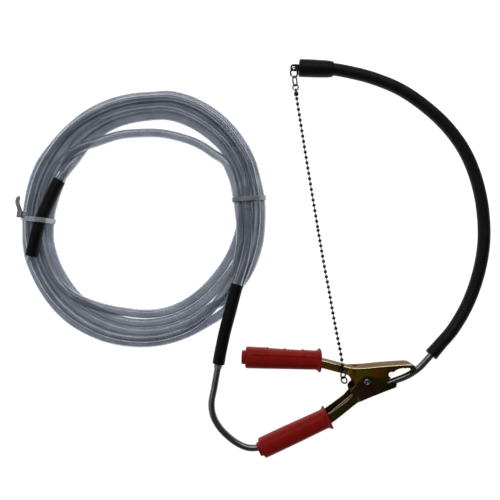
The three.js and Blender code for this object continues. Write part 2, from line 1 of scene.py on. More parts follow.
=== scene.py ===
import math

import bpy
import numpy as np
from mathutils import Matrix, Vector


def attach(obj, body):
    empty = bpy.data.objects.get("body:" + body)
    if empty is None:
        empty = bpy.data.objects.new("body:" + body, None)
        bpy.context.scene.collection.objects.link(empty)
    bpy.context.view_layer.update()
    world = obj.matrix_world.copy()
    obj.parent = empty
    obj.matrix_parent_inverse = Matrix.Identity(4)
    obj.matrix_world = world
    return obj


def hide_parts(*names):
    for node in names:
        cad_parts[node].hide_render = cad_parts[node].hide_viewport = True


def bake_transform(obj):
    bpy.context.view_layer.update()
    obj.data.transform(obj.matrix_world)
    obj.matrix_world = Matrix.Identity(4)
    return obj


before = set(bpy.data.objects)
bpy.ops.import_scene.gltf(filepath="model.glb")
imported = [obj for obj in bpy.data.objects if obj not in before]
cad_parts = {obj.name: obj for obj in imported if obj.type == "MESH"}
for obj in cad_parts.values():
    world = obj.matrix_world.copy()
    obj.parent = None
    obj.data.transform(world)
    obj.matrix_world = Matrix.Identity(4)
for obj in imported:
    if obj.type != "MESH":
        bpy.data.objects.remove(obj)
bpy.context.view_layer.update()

# Transfer pipe set: a spring clamp that holds a bent steel pipe, a capped black hose on one
# end of the pipe, and a coil of clear hose on the other. Metres, in the frame of the CAD model:
# Z = 0 is the floor and the origin is the foot of the clamp's pivot axis.

# Driving dimensions, as in the CAD model.
MM = 0.001
MID = 13 * MM                     # height of the clamp's middle plane
PIPE_RADIUS = 3 * MM
PIPE_BORE = 2 * MM
DELIVERY_RADIUS = 5.5 * MM        # black hose
CLEAR_RADIUS = 4 * MM             # clear hose
HOSE_BORE = 3.15 * MM
SLEEVE_RADIUS = 5.5 * MM
SLEEVE_BORE = 4.2 * MM
INSERTION = 14 * MM               # length of pipe inside each hose
LEAD_BARE = 3.5 * MM              # clear hose showing below the joint sleeve
JOINT_SLEEVE_LENGTH = 74 * MM
SPARE_SLEEVE_LENGTH = 72 * MM
TAIL_BARE = 4.8 * MM              # clear hose showing past the spare sleeve
COIL_CENTRE = (-0.1997, 0.1438)
COIL_HALF_X = 0.1071
COIL_HALF_Y = 0.1153
BEAD_RADIUS = 1.6 * MM
BEAD_PITCH = 4.87 * MM
AXIS_RADIUS = 0.01 * MM           # least radius of a turned profile, so that no points coincide
SQUARE = ((-1, -1), (1, -1), (1, 1), (-1, 1))

# Spacing of the points along each curve.
HOSE_STEP = 3 * MM
DELIVERY_STEP = 2.5 * MM
PIPE_STEP = 2 * MM
CHAIN_STEP = 0.5 * MM
CHAIN_WIRE_STEP = 1.2 * MM
WEB_STEP = 0.2 * MM               # for finding which points of an arm are across from each other
EDGE_STEP = 0.4 * MM
ARM_STEP = 0.9 * MM
SPRING_STEP = 0.9 * MM
GRIP_STEP = 0.6 * MM
TIE_STEP = 0.8 * MM
TAIL_STEP = 0.5 * MM


def in_mm(*pairs):
    return [(a * MM, b * MM) for a, b in pairs]


def unit(vector):
    return np.array(vector, float) / np.linalg.norm(vector)


# ---------------------------------------------------------------- curves and surfaces

def smooth_curve(points, samples=16):
    """A centripetal Catmull-Rom curve through the points, as the CAD model's routes are."""
    p = np.array(points, float)
    ends = np.vstack([2 * p[0] - p[1], p, 2 * p[-1] - p[-2]])
    t = np.linspace(0, 1, samples, endpoint=False)[:, None]
    pieces = []
    for i in range(len(p) - 1):
        p0, p1, p2, p3 = ends[i:i + 4]
        d0 = np.linalg.norm(p1 - p0) ** 0.5
        d1 = np.linalg.norm(p2 - p1) ** 0.5
        d2 = np.linalg.norm(p3 - p2) ** 0.5
        m1 = ((p1 - p0) / d0 - (p2 - p0) / (d0 + d1) + (p2 - p1) / d1) * d1
        m2 = ((p2 - p1) / d1 - (p3 - p1) / (d1 + d2) + (p3 - p2) / d2) * d1
        square = -3 * p1 + 3 * p2 - 2 * m1 - m2
        cube = 2 * p1 - 2 * p2 + m1 + m2
        pieces.append(p1 + m1 * t + square * t ** 2 + cube * t ** 3)
    return np.vstack(pieces + [p[-1:]])


def distances(path):
    steps = np.linalg.norm(np.diff(path, axis=0), axis=1)
    return np.concatenate([[0], np.cumsum(steps)])


def resample(path, at):
    """The points of a path at these distances from its start."""
    along = distances(path)
    return np.stack([np.interp(at, along, path[:, k]) for k in range(path.shape[1])], axis=1)


def even(path, spacing):
    length = distances(path)[-1]
    return resample(path, np.linspace(0, length, max(2, round(length / spacing) + 1)))


def stretch(path, start, end, spacing):
    count = max(2, round((end - start) / spacing) + 1)
    return resample(path, np.linspace(start, end, count))


def turning_frames(path):
    """Tangents, and two directions across the path that don't twist about it."""
    tangent = np.gradient(path, axis=0)
    tangent /= np.linalg.norm(tangent, axis=1)[:, None]
    side = np.empty_like(path)
    first = np.cross(tangent[0], (0, 0, 1))
    if np.linalg.norm(first) < 0.1:
        first = np.cross(tangent[0], (1, 0, 0))
    side[0] = unit(first)
    for i in range(1, len(path)):
        side[i] = unit(side[i - 1] - tangent[i] * (side[i - 1] @ tangent[i]))
    return tangent, side, np.cross(tangent, side)


def circle(sides):
    turn = np.arange(sides) * 2 * math.pi / sides
    return np.stack([np.cos(turn), np.sin(turn)], axis=1)


def rings_along(path, radii, section):
    """A ring of points round each point of the path: the section, scaled by that point's radius."""
    _, side, up = turning_frames(path)
    radii = np.broadcast_to(radii, (len(path),))
    across = section[None, :, :1] * side[:, None] + section[None, :, 1:] * up[:, None]
    return path[:, None] + across * radii[:, None, None]


class Surface:
    """Points and faces, gathered until they become one object."""

    def __init__(self):
        self.points = []
        self.faces = []

    def add(self, points, faces):
        start = len(self.points)
        self.points += [tuple(p) for p in points]
        self.faces += [tuple(start + i for i in face) for face in faces]

    def skin(self, rings, capped=True, looped=False):
        """Quads between neighbouring rings, with the ends filled, or joined to each other."""
        count, sides = len(rings), len(rings[0])
        faces = []
        for i in range(count if looped else count - 1):
            a, b = i * sides, (i + 1) % count * sides
            faces += [(a + j, a + (j + 1) % sides, b + (j + 1) % sides, b + j) for j in range(sides)]
        if capped and not looped:
            faces.append(tuple(range(sides))[::-1])
            faces.append(tuple((count - 1) * sides + j for j in range(sides)))
        self.add(np.concatenate(rings), faces)

    def object(self, name, material, sharp=40):
        mesh = bpy.data.meshes.new(name)
        mesh.from_pydata(self.points, [], self.faces)
        mesh.polygons.foreach_set("use_smooth", [True] * len(mesh.polygons))
        mesh.set_sharp_from_angle(angle=math.radians(sharp))
        mesh.materials.append(material)
        made = bpy.data.objects.new(name, mesh)
        bpy.context.scene.collection.objects.link(made)
        return made


def hollow_rings(path, outer, bore, sides):
    """Rings out along the outside of a tube and back along its bore, for a looped skin."""
    section = circle(sides)
    outside = rings_along(path, outer, section)
    inside = rings_along(path, bore, section)
    return list(outside) + list(inside[::-1])


def skinned(name, material, rings, sharp=40, **how):
    """An object that is one skin over rings of points."""
    made = Surface()
    made.skin(rings, **how)
    return made.object(name, material, sharp)


def hollow_tube(name, material, path, outer, bore, sides=20):
    return skinned(name, material, hollow_rings(path, outer, bore, sides), looped=True)


def finish_piece(piece, body, slot, *nodes):
    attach(piece, body)
    if nodes:
        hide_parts(*nodes)
    return piece


# ---------------------------------------------------------------- materials

def set_inputs(node, values):
    """Gives a shader node its constant inputs; an underscore stands for a space."""
    for socket, value in values.items():
        node.inputs[socket.replace("_", " ")].default_value = value


def material(name, **values):
    made = bpy.data.materials.new(name)
    made.use_nodes = True
    set_inputs(made.node_tree.nodes["Principled BSDF"], values)
    return made


def add_node(made, kind, fed, **values):
    """A shader node: what feeds its inputs, and its constant ones."""
    node = made.node_tree.nodes.new("ShaderNode" + kind)
    set_inputs(node, values)
    for socket, output in fed.items():
        made.node_tree.links.new(output, node.inputs[socket])
    return node


def noise(made, scale, detail=3, stretch=(1, 1, 1), rough=0.55):
    """A noise over the object's own coordinates, stretched along an axis by a small factor there."""
    place = add_node(made, "TexCoord", {}).outputs["Object"]
    mapped = add_node(made, "Mapping", {"Vector": place}, Scale=stretch).outputs["Vector"]
    return add_node(made, "TexNoise", {"Vector": mapped}, Scale=scale, Detail=detail,
                    Roughness=rough).outputs["Fac"]


def axis_of(made, kind, axis):
    """One axis of the object's own coordinates, "Object", or of the way its surface faces, "Normal"."""
    place = add_node(made, "TexCoord", {}).outputs[kind]
    return add_node(made, "SeparateXYZ", {"Vector": place}).outputs[axis]


def ramp(made, value, *stops):
    """Colours over a value: each stop is a place from 0 to 1 and a colour."""
    node = add_node(made, "ValToRGB", {"Fac": value})
    elements = node.color_ramp.elements
    while len(elements) < len(stops):
        elements.new(0.5)
    for element, (place, color) in zip(elements, stops):
        element.position = place
        element.color = (*color, 1)
    return node.outputs["Color"]


def spread(made, value, low, high, start=0.35, end=0.65):
    """A value between low and high, as the given one goes from start to end."""
    return add_node(made, "MapRange", {"Value": value}, From_Min=start, From_Max=end, To_Min=low,
                    To_Max=high).outputs["Result"]


def blend_colors(made, amount, one, other, mode="MIX"):
    node = add_node(made, "Mix", {})
    node.data_type = "RGBA"
    node.blend_type = mode
    for index, output in ((0, amount), (6, one), (7, other)):
        made.node_tree.links.new(output, node.inputs[index])
    return node.outputs[2]


def feed(made, socket, output):
    shader = made.node_tree.nodes["Principled BSDF"]
    made.node_tree.links.new(output, shader.inputs[socket])


def color_by(made, value, *stops):
    feed(made, "Base Color", ramp(made, value, *stops))


def roughness_by(made, value, low, high):
    feed(made, "Roughness", spread(made, value, low, high))


def scaled(color, factor):
    return tuple(factor * c for c in color)


def bumpy(made, height, strength, depth):
    node = add_node(made, "Bump", {"Height": height}, Strength=strength, Distance=depth)
    feed(made, "Normal", node.outputs["Normal"])


def clear_plastic():
    made = material(
        "clear_hose", Base_Color=(0.47, 0.51, 0.57, 1), Roughness=0.16, IOR=1.45,
        Transmission_Weight=0.80, Specular_IOR_Level=0.6)
    color_by(made, noise(made, 60), (0.35, (0.46, 0.49, 0.55)), (0.7, (0.56, 0.595, 0.66)))
    roughness_by(made, noise(made, 300, 2), 0.04, 0.12)
    bumpy(made, noise(made, 900, 2), 0.03, 0.0002)
    return made


def hose_rubber():
    """Extruded rubber: nearly black, matte, with faint dust."""
    made = material("hose_rubber", Roughness=0.5, Specular_IOR_Level=0.13)
    cloud = noise(made, 120, 5, rough=0.7)
    color_by(made, cloud, (0.4, (0.003, 0.003, 0.0035)), (0.75, (0.008, 0.008, 0.009)))
    roughness_by(made, noise(made, 260, 4), 0.42, 0.62)
    bumpy(made, noise(made, 1600, 4), 0.35, 0.0002)
    return made


def moulded_rubber():
    """Smoother moulded rubber of the sleeves and the cap."""
    made = material("moulded_rubber", Roughness=0.45, Specular_IOR_Level=0.11)
    cloud = noise(made, 90, 5, rough=0.7)
    color_by(made, cloud, (0.4, (0.003, 0.003, 0.0035)), (0.8, (0.007, 0.007, 0.008)))
    roughness_by(made, noise(made, 200, 4), 0.36, 0.56)
    bumpy(made, noise(made, 2200), 0.2, 0.00015)
    return made


def yellow_zinc(name, bands, highlight_cream, sheen_rose):
    """Passivated zinc: bands of colour along the arm, a line of painted shade and a pale painted
    highlight at its upper bend, and a pink tint on its upward side, partly the coating's own tint and
    partly painted sheen. The bands are given as places along X and their colours."""
    made = material(name, Metallic=1.0, Roughness=0.3, Specular_Tint=(0.45, 0.4, 0.32, 1))
    brushed = (0.1, 1, 1)
    upward = axis_of(made, "Normal", "Y")
    uneven = spread(made, noise(made, 45, 2, rough=0.4), -0.007, 0.007)
    wander = add_node(made, "Math", {0: axis_of(made, "Object", "X"), 1: uneven}).outputs[0]
    start, end = bands[0][0], bands[-1][0]
    along = spread(made, wander, 0, 1, start, end)
    tint = ramp(made, along, *[((x - start) / (end - start), color) for x, color in bands])
    # Painted shade: a dark line where the surface starts to turn up, at the foot of the bend.
    bend_shade = ramp(made, upward, (0.02, (1, 1, 1)), (0.08, (0.35, 0.3, 0.3)))
    tint = blend_colors(made, spread(made, upward, 0, 1, 0.02, 0.06), tint, bend_shade, "MULTIPLY")
    # Painted highlight: where the surface faces partly up, in the bend and on the bevelled edges, it
    # takes a pale lit colour.
    lit = ramp(made, noise(made, 200, 2, brushed), (0.3, scaled(highlight_cream, 0.8)), (0.6, highlight_cream))
    tint = blend_colors(made, spread(made, upward, 0, 1, 0.16, 0.34), tint, lit)
    # Pink tint where the surface faces straight up: partly the coating's own tint, partly painted
    # sheen.
    streaks = noise(made, 160, 3, brushed)
    rosy_sheen = ramp(made, streaks, (0.35, scaled(sheen_rose, 0.6)), (0.65, scaled(sheen_rose, 1.5)))
    tint = blend_colors(made, spread(made, upward, 0, 1, 0.75, 0.93), tint, rosy_sheen)
    fine = ramp(made, noise(made, 420, 3, brushed), (0.3, (0.8, 0.8, 0.78)), (0.7, (1, 1, 1)))
    worn = spread(made, noise(made, 25, 2), 0.4, 0.8)
    feed(made, "Base Color", blend_colors(made, worn, tint, fine, "MULTIPLY"))
    roughness_by(made, noise(made, 350, 3, brushed), 0.22, 0.34)
    bumpy(made, noise(made, 700, 2, brushed), 0.05, 0.0002)
    return made


def bright_metal(name, color, low, high, edge=1):
    """Plated or drawn metal. The edge is how bright its grazing reflections are."""
    made = material(name, Base_Color=(*color, 1), Metallic=1.0, Roughness=low,
                    Specular_Tint=(edge, edge, edge, 1))
    color_by(made, noise(made, 150, 4), (0.35, scaled(color, 0.75)), (0.6, color))
    roughness_by(made, noise(made, 400), low, high)
    bumpy(made, noise(made, 800, 2), 0.06, 0.0001)
    return made


def red_plastic():
    """Soft moulded plastic, deep red with a fine moulded grain."""
    made = material("red_plastic", Roughness=0.5, Specular_IOR_Level=0.08)
    color_by(made, noise(made, 45, 4), (0.3, (0.24, 0.007, 0.005)), (0.7, (0.30, 0.010, 0.007)))
    roughness_by(made, noise(made, 150, 4), 0.38, 0.52)
    bumpy(made, noise(made, 1800), 0.25, 0.00015)
    return made


def white_nylon():
    made = material("nylon", Base_Color=(0.24, 0.25, 0.28, 1), Roughness=0.35,
                    Transmission_Weight=0.15, Specular_IOR_Level=0.12)
    color_by(made, noise(made, 200), (0.3, (0.19, 0.2, 0.23)), (0.7, (0.3, 0.315, 0.35)))
    roughness_by(made, noise(made, 500), 0.28, 0.45)
    bumpy(made, noise(made, 1500), 0.1, 0.0001)
    return made


def floor_finish():
    return material("floor", Base_Color=(0.4, 0.4, 0.4, 1), Roughness=0.9,
                    Emission_Color=(1, 1, 1, 1), Emission_Strength=0.95)


# ---------------------------------------------------------------- camera, floor and light

CAMERA_PLACE = (-0.103, 0.1162, 0.523)    # straight above, looking down
CAMERA_SENSOR = 36.0                      # millimetres, as Blender counts a camera's lens
CAMERA_LENS = 40.8
FLOOR_HALF = 3.0


def add_camera():
    data = bpy.data.cameras.new("camera")
    data.sensor_width = CAMERA_SENSOR
    data.lens = CAMERA_LENS
    camera = bpy.data.objects.new("camera", data)
    camera.location = CAMERA_PLACE
    bpy.context.scene.collection.objects.link(camera)
    bpy.context.scene.camera = camera


def add_floor():
    floor = Surface()
    floor.add([(x * FLOOR_HALF, y * FLOOR_HALF, 0) for x, y in SQUARE], [(0, 1, 2, 3)])
    floor.object("floor", floor_finish())


def area_light(name, place, target, size, power):
    data = bpy.data.lights.new(name, "AREA")
    data.shape = "RECTANGLE"
    data.size, data.size_y = size
    data.energy = power
    light = bpy.data.objects.new(name, data)
    light.location = place
    away = Vector(place) - Vector(target)
    light.rotation_euler = away.to_track_quat("Z", "Y").to_euler()
    bpy.context.scene.collection.objects.link(light)


def add_lights():
    middle = (-0.1, 0.11, 0.0)
    area_light("key_light", (-0.1, 0.85, 0.75), middle, (1.4, 0.6), 7)
    area_light("fill_light", (-0.9, -0.1, 0.9), middle, (0.8, 0.8), 1.5)
    world = bpy.data.worlds.new("studio")
    world.use_nodes = True
    background = world.node_tree.nodes["Background"]
    background.inputs["Color"].default_value = (0.9, 0.93, 1, 1)
    background.inputs["Strength"].default_value = 0.12
    bpy.context.scene.world = world
    bpy.context.scene.view_settings.view_transform = "Standard"


add_camera()
add_floor()
add_lights()

# ---------------------------------------------------------------- clear hose

REAR_MOUTH = np.array([-0.1319, 0.0107, 0.0137])      # the clear hose's mouth on the pipe
REAR_WAY = unit((0.17, 0.985, 0.04))


def mouth_route(mouth, way):
    """From a hose's mouth on the pipe to the end of the pipe inside the hose."""
    return [mouth, mouth + way * INSERTION / 2, mouth + way * INSERTION]


LEAD_ROUTE = mouth_route(REAR_MOUTH, REAR_WAY) + [
    (-0.1255, 0.043, 0.017), (-0.1205, 0.062, 0.021), (-0.1144, 0.0858, 0.0224),
    (-0.1085, 0.107, 0.020), (-0.1055, 0.124, 0.0175),
]
TAIL_ROUTE = [
    (-0.2630, 0.1960, 0.0120), (-0.2686, 0.1878, 0.0148), (-0.2755, 0.1766, 0.0175),
    (-0.2818, 0.1616, 0.0195), (-0.2879, 0.1460, 0.0212), (-0.2926, 0.1315, 0.0212),
    (-0.2974, 0.1112, 0.0205), (-0.2983, 0.1065, 0.0203),
]
# The passes of the hose across its bundle, at places round the coil in degrees: for each pass,
# the distance inwards from the coil's outline and the height, in millimetres.
PASSES = {
    10.3: [(12.0, 11.5), (8.8, 4.2), (0.4, 4.2), (4.4, 11.5), (16.6, 11.4), (16.6, 4.2)],
    31: [(8.4, 11.2), (5.6, 4.0), (-2.6, 4.0), (0.8, 11.4), (17.2, 10.6), (13.8, 4.0)],
    40: [(8.6, 11.1), (5.0, 4.0), (-3.2, 4.0), (0.8, 11.3), (22.2, 7.8), (12.8, 4.0)],
    50: [(9.2, 11.0), (5.0, 4.0), (-3.6, 4.0), (0.7, 11.2), (26.0, 4.8), (13.8, 4.0)],
    72: [(11.2, 11.0), (6.7, 4.0), (-2.2, 4.0), (2.3, 11.2), (33.2, 4.0), (15.8, 4.0)],
    92: [(15.9, 11.0), (11.6, 4.0), (3.1, 4.0), (7.3, 11.0), (35.6, 4.0), (20.8, 4.0)],
    112: [(17.5, 11.0), (13.2, 4.0), (4.0, 4.0), (8.7, 11.0), (32.4, 4.0), (23.0, 4.0)],
    133: [(19.5, 8.0), (12.6, 4.0), (4.4, 4.0), (8.5, 11.0), (26.4, 12.0), (25.0, 4.5)],
    156: [(24.8, 4.0), (11.0, 4.0), (1.2, 4.0), (6.2, 11.0), (17.0, 12.5)],
    180: [(21.0, 5.0), (9.2, 5.0), (0.4, 5.0), (4.8, 11.8), (14.0, 12.5)],
    200: [(17.6, 4.0), (7.5, 4.0), (-1.8, 4.0), (2.9, 11.0), (13.0, 11.0)],
    222: [(18.0, 4.0), (9.2, 4.0), (-1.4, 4.0), (3.2, 11.0), (17.0, 11.4)],
    245: [(20.4, 4.0), (12.0, 4.0), (0.8, 4.0), (5.8, 11.0), (25.2, 9.5)],
    270: [(20.6, 4.0), (12.0, 4.0), (3.3, 4.0), (7.7, 11.0), (29.0, 4.0)],
    295: [(19.9, 4.0), (11.9, 4.0), (3.2, 4.5), (9.0, 11.2), (28.0, 4.0)],
    315: [(19.3, 4.0), (6.4, 4.0), (0.6, 8.4), (11.4, 11.2), (27.1, 4.0)],
    340: [(14.4, 4.0), (1.8, 4.0), (4.8, 11.3), (15.0, 11.8), (22.9, 4.0)],
}
COIL_POINTS_PER_TURN = 48
RIGHT_TIE = (-0.1054, 0.1623, 0.09)       # place and turn of each tie
LEFT_TIE = (-0.2946, 0.1436, -0.11)
TIE_THICK = 1.1 * MM
RIGHT_TIE_LIFT = 3.7 * MM         # the right tie's head lies under the hoses
RIGHT_LIFT_REACH = 18 * MM
LEFT_LIFT_REACH = 16 * MM
RIGHT_SQUEEZE = 0.28 * MM         # how much a tie takes off the hose's radius
LEFT_SQUEEZE = 0.08 * MM
SQUEEZE_REACH = 22 * MM
FIXED_LEAD = 60 * MM              # the ends of the hose that settling leaves in place
FIXED_TAIL = 110 * MM
SETTLE_ROUNDS = 320
NEIGHBOUR_REACH = 13 * MM
NEIGHBOUR_SKIP = 12               # points of the hose that are too near along it to touch
NEIGHBOUR_ROUNDS = 8              # rounds between two searches for neighbours
PUSH_SHARE = 0.22                 # of an overlap, taken away in one round
SINK = 0.01 * MM                  # fall in one round
EARLY_EASE = 0.5                  # share of a movement that is evened out along the hose
LATE_EASE = 0.15
LATE_FROM = 0.7                   # share of the rounds


def on_coil(degrees, inwards, height):
    turn = math.radians(degrees)
    return (COIL_CENTRE[0] + (COIL_HALF_X - inwards * MM) * math.cos(turn),
            COIL_CENTRE[1] + (COIL_HALF_Y - inwards * MM) * math.sin(turn),
            height * MM)


def coil_points():
    """Points of the coil's five and a half turns, from the end of the lead to the tail."""
    places = []
    for turn in range(6):
        for degrees, passes in PASSES.items():
            if turn < len(passes):
                places.append((360 * turn + degrees, *passes[turn]))
    places = np.array(places)
    degrees = np.arange(places[0, 0], places[-1, 0], 360 / COIL_POINTS_PER_TURN)
    knots = smooth_curve(places * (0.01, 1, 1))
    inwards = np.interp(degrees, knots[:, 0] * 100, knots[:, 1])
    heights = np.interp(degrees, knots[:, 0] * 100, knots[:, 2])
    return [on_coil(*place) for place in zip(degrees, inwards, heights)]


def near_tie(path, place, reach):
    return np.exp(-(np.linalg.norm(path[:, :2] - place, axis=1) / reach) ** 4)


def hose_radii(path, sleeved):
    """The room that the hose takes: more in its sleeves, and less where a tie squeezes it."""
    radii = np.full(len(path), CLEAR_RADIUS)
    radii -= RIGHT_SQUEEZE * near_tie(path, RIGHT_TIE[:2], SQUEEZE_REACH)
    radii -= LEFT_SQUEEZE * near_tie(path, LEFT_TIE[:2], SQUEEZE_REACH)
    radii[sleeved] = SLEEVE_RADIUS
    return radii


def neighbours(path):
    """Pairs of points that lie close together but far apart along the path."""
    first, second = [], []
    for i in range(len(path) - NEIGHBOUR_SKIP):
        rest = path[i + NEIGHBOUR_SKIP:]
        close = np.nonzero(((rest - path[i]) ** 2).sum(axis=1) < NEIGHBOUR_REACH ** 2)[0]
        first += [i] * len(close)
        second += list(i + NEIGHBOUR_SKIP + close)
    return np.array(first), np.array(second)


def settle(path, radii, floor, free):
    """Moves a hose's points until it rests on the floor and on itself and lies inside neither."""
    design = path.copy()
    for turn in range(SETTLE_ROUNDS):
        if turn % NEIGHBOUR_ROUNDS == 0:
            i, j = neighbours(path)
        tangent = np.gradient(path, axis=0)
        tangent /= np.linalg.norm(tangent, axis=1)[:, None]
        apart = path[i] - path[j]
        along = (apart * tangent[j]).sum(axis=1)
        across = apart - along[:, None] * tangent[j]
        gap = np.linalg.norm(across, axis=1)
        depth = np.where(abs(along) < HOSE_STEP, radii[i] + radii[j] - gap, 0).clip(min=0)
        push = across / gap.clip(min=1e-9)[:, None] * depth[:, None] * PUSH_SHARE
        change = np.zeros_like(path)
        np.add.at(change, i, push)
        np.add.at(change, j, -push)
        change[:, 2] -= SINK
        path = path + change * free
        moved = path - design
        ease = EARLY_EASE if turn < SETTLE_ROUNDS * LATE_FROM else LATE_EASE
        moved[1:-1] += ease * ((moved[:-2] + moved[2:]) / 2 - moved[1:-1])
        path = design + moved * (free > 0)
        path[:, 2] = np.maximum(path[:, 2], floor)
    return path


def clear_hose_path():
    """The settled path of the clear hose, and the room it takes at each point."""
    lead = smooth_curve(LEAD_ROUTE)
    tail = smooth_curve(TAIL_ROUTE)
    coil = smooth_curve([lead[-1], *coil_points()[1:], tail[0]], 6)[1:-1]
    path = even(np.vstack([lead, coil, tail]), HOSE_STEP)
    along = distances(path)
    length = along[-1]
    joint = (along > LEAD_BARE) & (along < LEAD_BARE + JOINT_SLEEVE_LENGTH)
    spare = (along < length - TAIL_BARE) & (along > length - TAIL_BARE - SPARE_SLEEVE_LENGTH)
    radii = hose_radii(path, joint | spare)
    floor = (radii + RIGHT_TIE_LIFT * near_tie(path, RIGHT_TIE[:2], RIGHT_LIFT_REACH)
             + TIE_THICK * near_tie(path, LEFT_TIE[:2], LEFT_LIFT_REACH))
    free = np.ones((len(path), 3))
    free[along < FIXED_LEAD] = 0
    free[along > length - FIXED_TAIL, :2] = 0
    return settle(path, radii, floor, free), radii


clear_path, clear_room = clear_hose_path()
clear_outer = np.minimum(clear_room, CLEAR_RADIUS)
clear_hose = hollow_tube("clear_hose", clear_plastic(), clear_path, clear_outer,
                         clear_outer - (CLEAR_RADIUS - HOSE_BORE), sides=18)
finish_piece(clear_hose, "root", "clear_hose", "clear_hose_lead", "clear_hose_coil",
             "clear_hose_stray_turn", "clear_hose_tail")

rubber = moulded_rubber()


def sleeve(name, start, end, node):
    path = stretch(clear_path, start, end, HOSE_STEP)
    made = hollow_tube(name, rubber, path, SLEEVE_RADIUS, SLEEVE_BORE)
    return finish_piece(made, "root", "rubber", node)


spare_end = distances(clear_path)[-1] - TAIL_BARE
joint_sleeve = sleeve("joint_sleeve_rubber", LEAD_BARE, LEAD_BARE + JOINT_SLEEVE_LENGTH, "joint_sleeve")
spare_sleeve = sleeve("spare_sleeve_rubber", spare_end - SPARE_SLEEVE_LENGTH, spare_end, "spare_sleeve")

# ---------------------------------------------------------------- steel pipe and black hose

FRONT_MOUTH = np.array([0.0599, 0.0217, 0.0128])      # the black hose's mouth on the pipe
FRONT_WAY = unit((0.665, 0.746, -0.04))
CAP_MOUTH = np.array([-0.0275, 0.28055, 0.0078])
CAP_WAY = unit((-0.99926, 0.0386, 0))
CAP_BORE_DEPTH = 27 * MM
FLAT_PIPE = [                     # where the pipe lies in the clamp's middle plane
    (-0.1376, -0.0215), (-0.1364, -0.032), (-0.1309, -0.0428), (-0.121, -0.053), (-0.112, -0.059),
    (-0.1045, -0.0617), (-0.098, -0.0619), (-0.0915, -0.0604), (-0.08, -0.0552), (-0.0598, -0.0466),
    (-0.0448, -0.0399), (-0.0312, -0.0332), (-0.0199, -0.0242), (-0.0087, -0.0151),
    (-0.0035, -0.0118), (0.0019, -0.0097), (0.0105, -0.0071), (0.0194, -0.0043), (0.0293, -0.0007),
    (0.03605, 0.0019), (0.0419, 0.0049), (0.04955, 0.01045), (0.0545, 0.0156),
]
PIPE_ROUTE = [
    *mouth_route(REAR_MOUTH, REAR_WAY)[::-1], (-0.1352, -0.008, 0.013),
    *((x, y, MID) for x, y in FLAT_PIPE), *mouth_route(FRONT_MOUTH, FRONT_WAY),
]
DELIVERY_ROUTE = mouth_route(FRONT_MOUTH, FRONT_WAY) + [
    (0.0795, 0.0431, 0.0104), (0.0914, 0.0602, 0.0076), (0.0999, 0.0776, 0.0061),
    (0.1065, 0.0983, 0.0056), (0.1098, 0.1162, 0.0055), (0.1108, 0.1331, 0.0055),
    (0.1086, 0.1593, 0.0055), (0.1027, 0.1838, 0.0055), (0.0935, 0.2055, 0.0055),
    (0.0800, 0.2252, 0.0055), (0.0623, 0.2430, 0.0055), (0.0358, 0.2619, 0.0056),
    (0.0088, 0.2730, 0.0062), (-0.0119, 0.2780, 0.0072), CAP_MOUTH, CAP_MOUTH + CAP_WAY * 0.013,
    CAP_MOUTH + CAP_WAY * (CAP_BORE_DEPTH - MM),
]
DELIVERY_FLARE = 0.35 * MM        # the black hose swells over the end of the pipe
FLARE_LENGTH = 9 * MM


def turned_rings(foot, axis, profile, sides=24, start=(0, 0, 1)):
    """Rings for a profile of (radius, distance from the foot) turned about an axis."""
    axis = unit(axis)
    side = unit(np.cross(axis, start))
    up = np.cross(axis, side)
    section = circle(sides)
    across = section[:, :1] * side + section[:, 1:] * up
    return [foot + axis * distance + across * max(radius, AXIS_RADIUS) for radius, distance in profile]


def delivery_hose_piece():
    path = even(smooth_curve(DELIVERY_ROUTE), DELIVERY_STEP)
    along = distances(path)
    outer = DELIVERY_RADIUS + DELIVERY_FLARE * np.exp(-(along / FLARE_LENGTH) ** 2)
    hose = hollow_tube("delivery_hose_rubber", hose_rubber(), path, outer, HOSE_BORE, sides=32)
    return finish_piece(hose, "root", "black_hose", "delivery_hose"), path


def steel_pipe_piece():
    path = even(smooth_curve(PIPE_ROUTE), PIPE_STEP)
    metal = bright_metal("pipe_steel", (0.18, 0.175, 0.165), 0.16, 0.30)
    pipe = hollow_tube("bent_pipe", metal, path, PIPE_RADIUS, PIPE_BORE, sides=28)
    return finish_piece(pipe, "root", "pipe_steel", "steel_pipe")


# End cap: a moulded socket over the black hose, with a holed tab.
TAB_HOLE = np.array([-0.0634, 0.28195, 0.0078])
TAB_HOLE_RADIUS = 1.5 * MM
TAB_HALF = 3.1 * MM
TAB_REACH = 6 * MM
TAB_THICK = 2 * MM
TAB_SOFT = 0.35 * MM              # chamfer of the tab's edges
CAP_PROFILE = in_mm(              # radius and distance from the cap's mouth, over its outside
    (6.1, 0), (6.35, 0), (6.6, 0.15), (6.8, 0.7), (7.15, 2.6), (7.4, 4.6), (7.5, 6), (7.7, 12),
    (7.8, 18), (7.8, 29.4), (7.65, 30.3), (7.2, 30.8), (6.6, 31), (3, 31), (0, 31))
CAP_BORE = DELIVERY_RADIUS + 0.15 * MM
CAP_LIP = 0.4 * MM                # depth of the lead-in at the cap's mouth


def tab_outline(turn):
    """Distance from the tab's hole to its edge: round at its free end, straight to the cap."""
    along, across = math.cos(turn), abs(math.sin(turn))
    if along >= 0:
        return TAB_HALF
    return min(TAB_HALF / max(across, 1e-6), TAB_REACH / -along)


def tab_rings(sides=48):
    up = np.array([0, 0, 1.0])
    side = np.cross(up, CAP_WAY)
    half, low = TAB_THICK / 2, TAB_THICK / 2 - TAB_SOFT
    hole = TAB_HOLE_RADIUS
    rings = []
    for turn in np.arange(sides) * 2 * math.pi / sides:
        out = CAP_WAY * math.cos(turn) + side * math.sin(turn)
        edge = tab_outline(turn)
        section = [(hole, -low), (hole, low), (hole + TAB_SOFT, half), (edge - TAB_SOFT, half),
                   (edge, low), (edge, -low), (edge - TAB_SOFT, -half), (hole + TAB_SOFT, -half)]
        rings.append(np.array([TAB_HOLE + out * r + up * z for r, z in section]))
    return rings


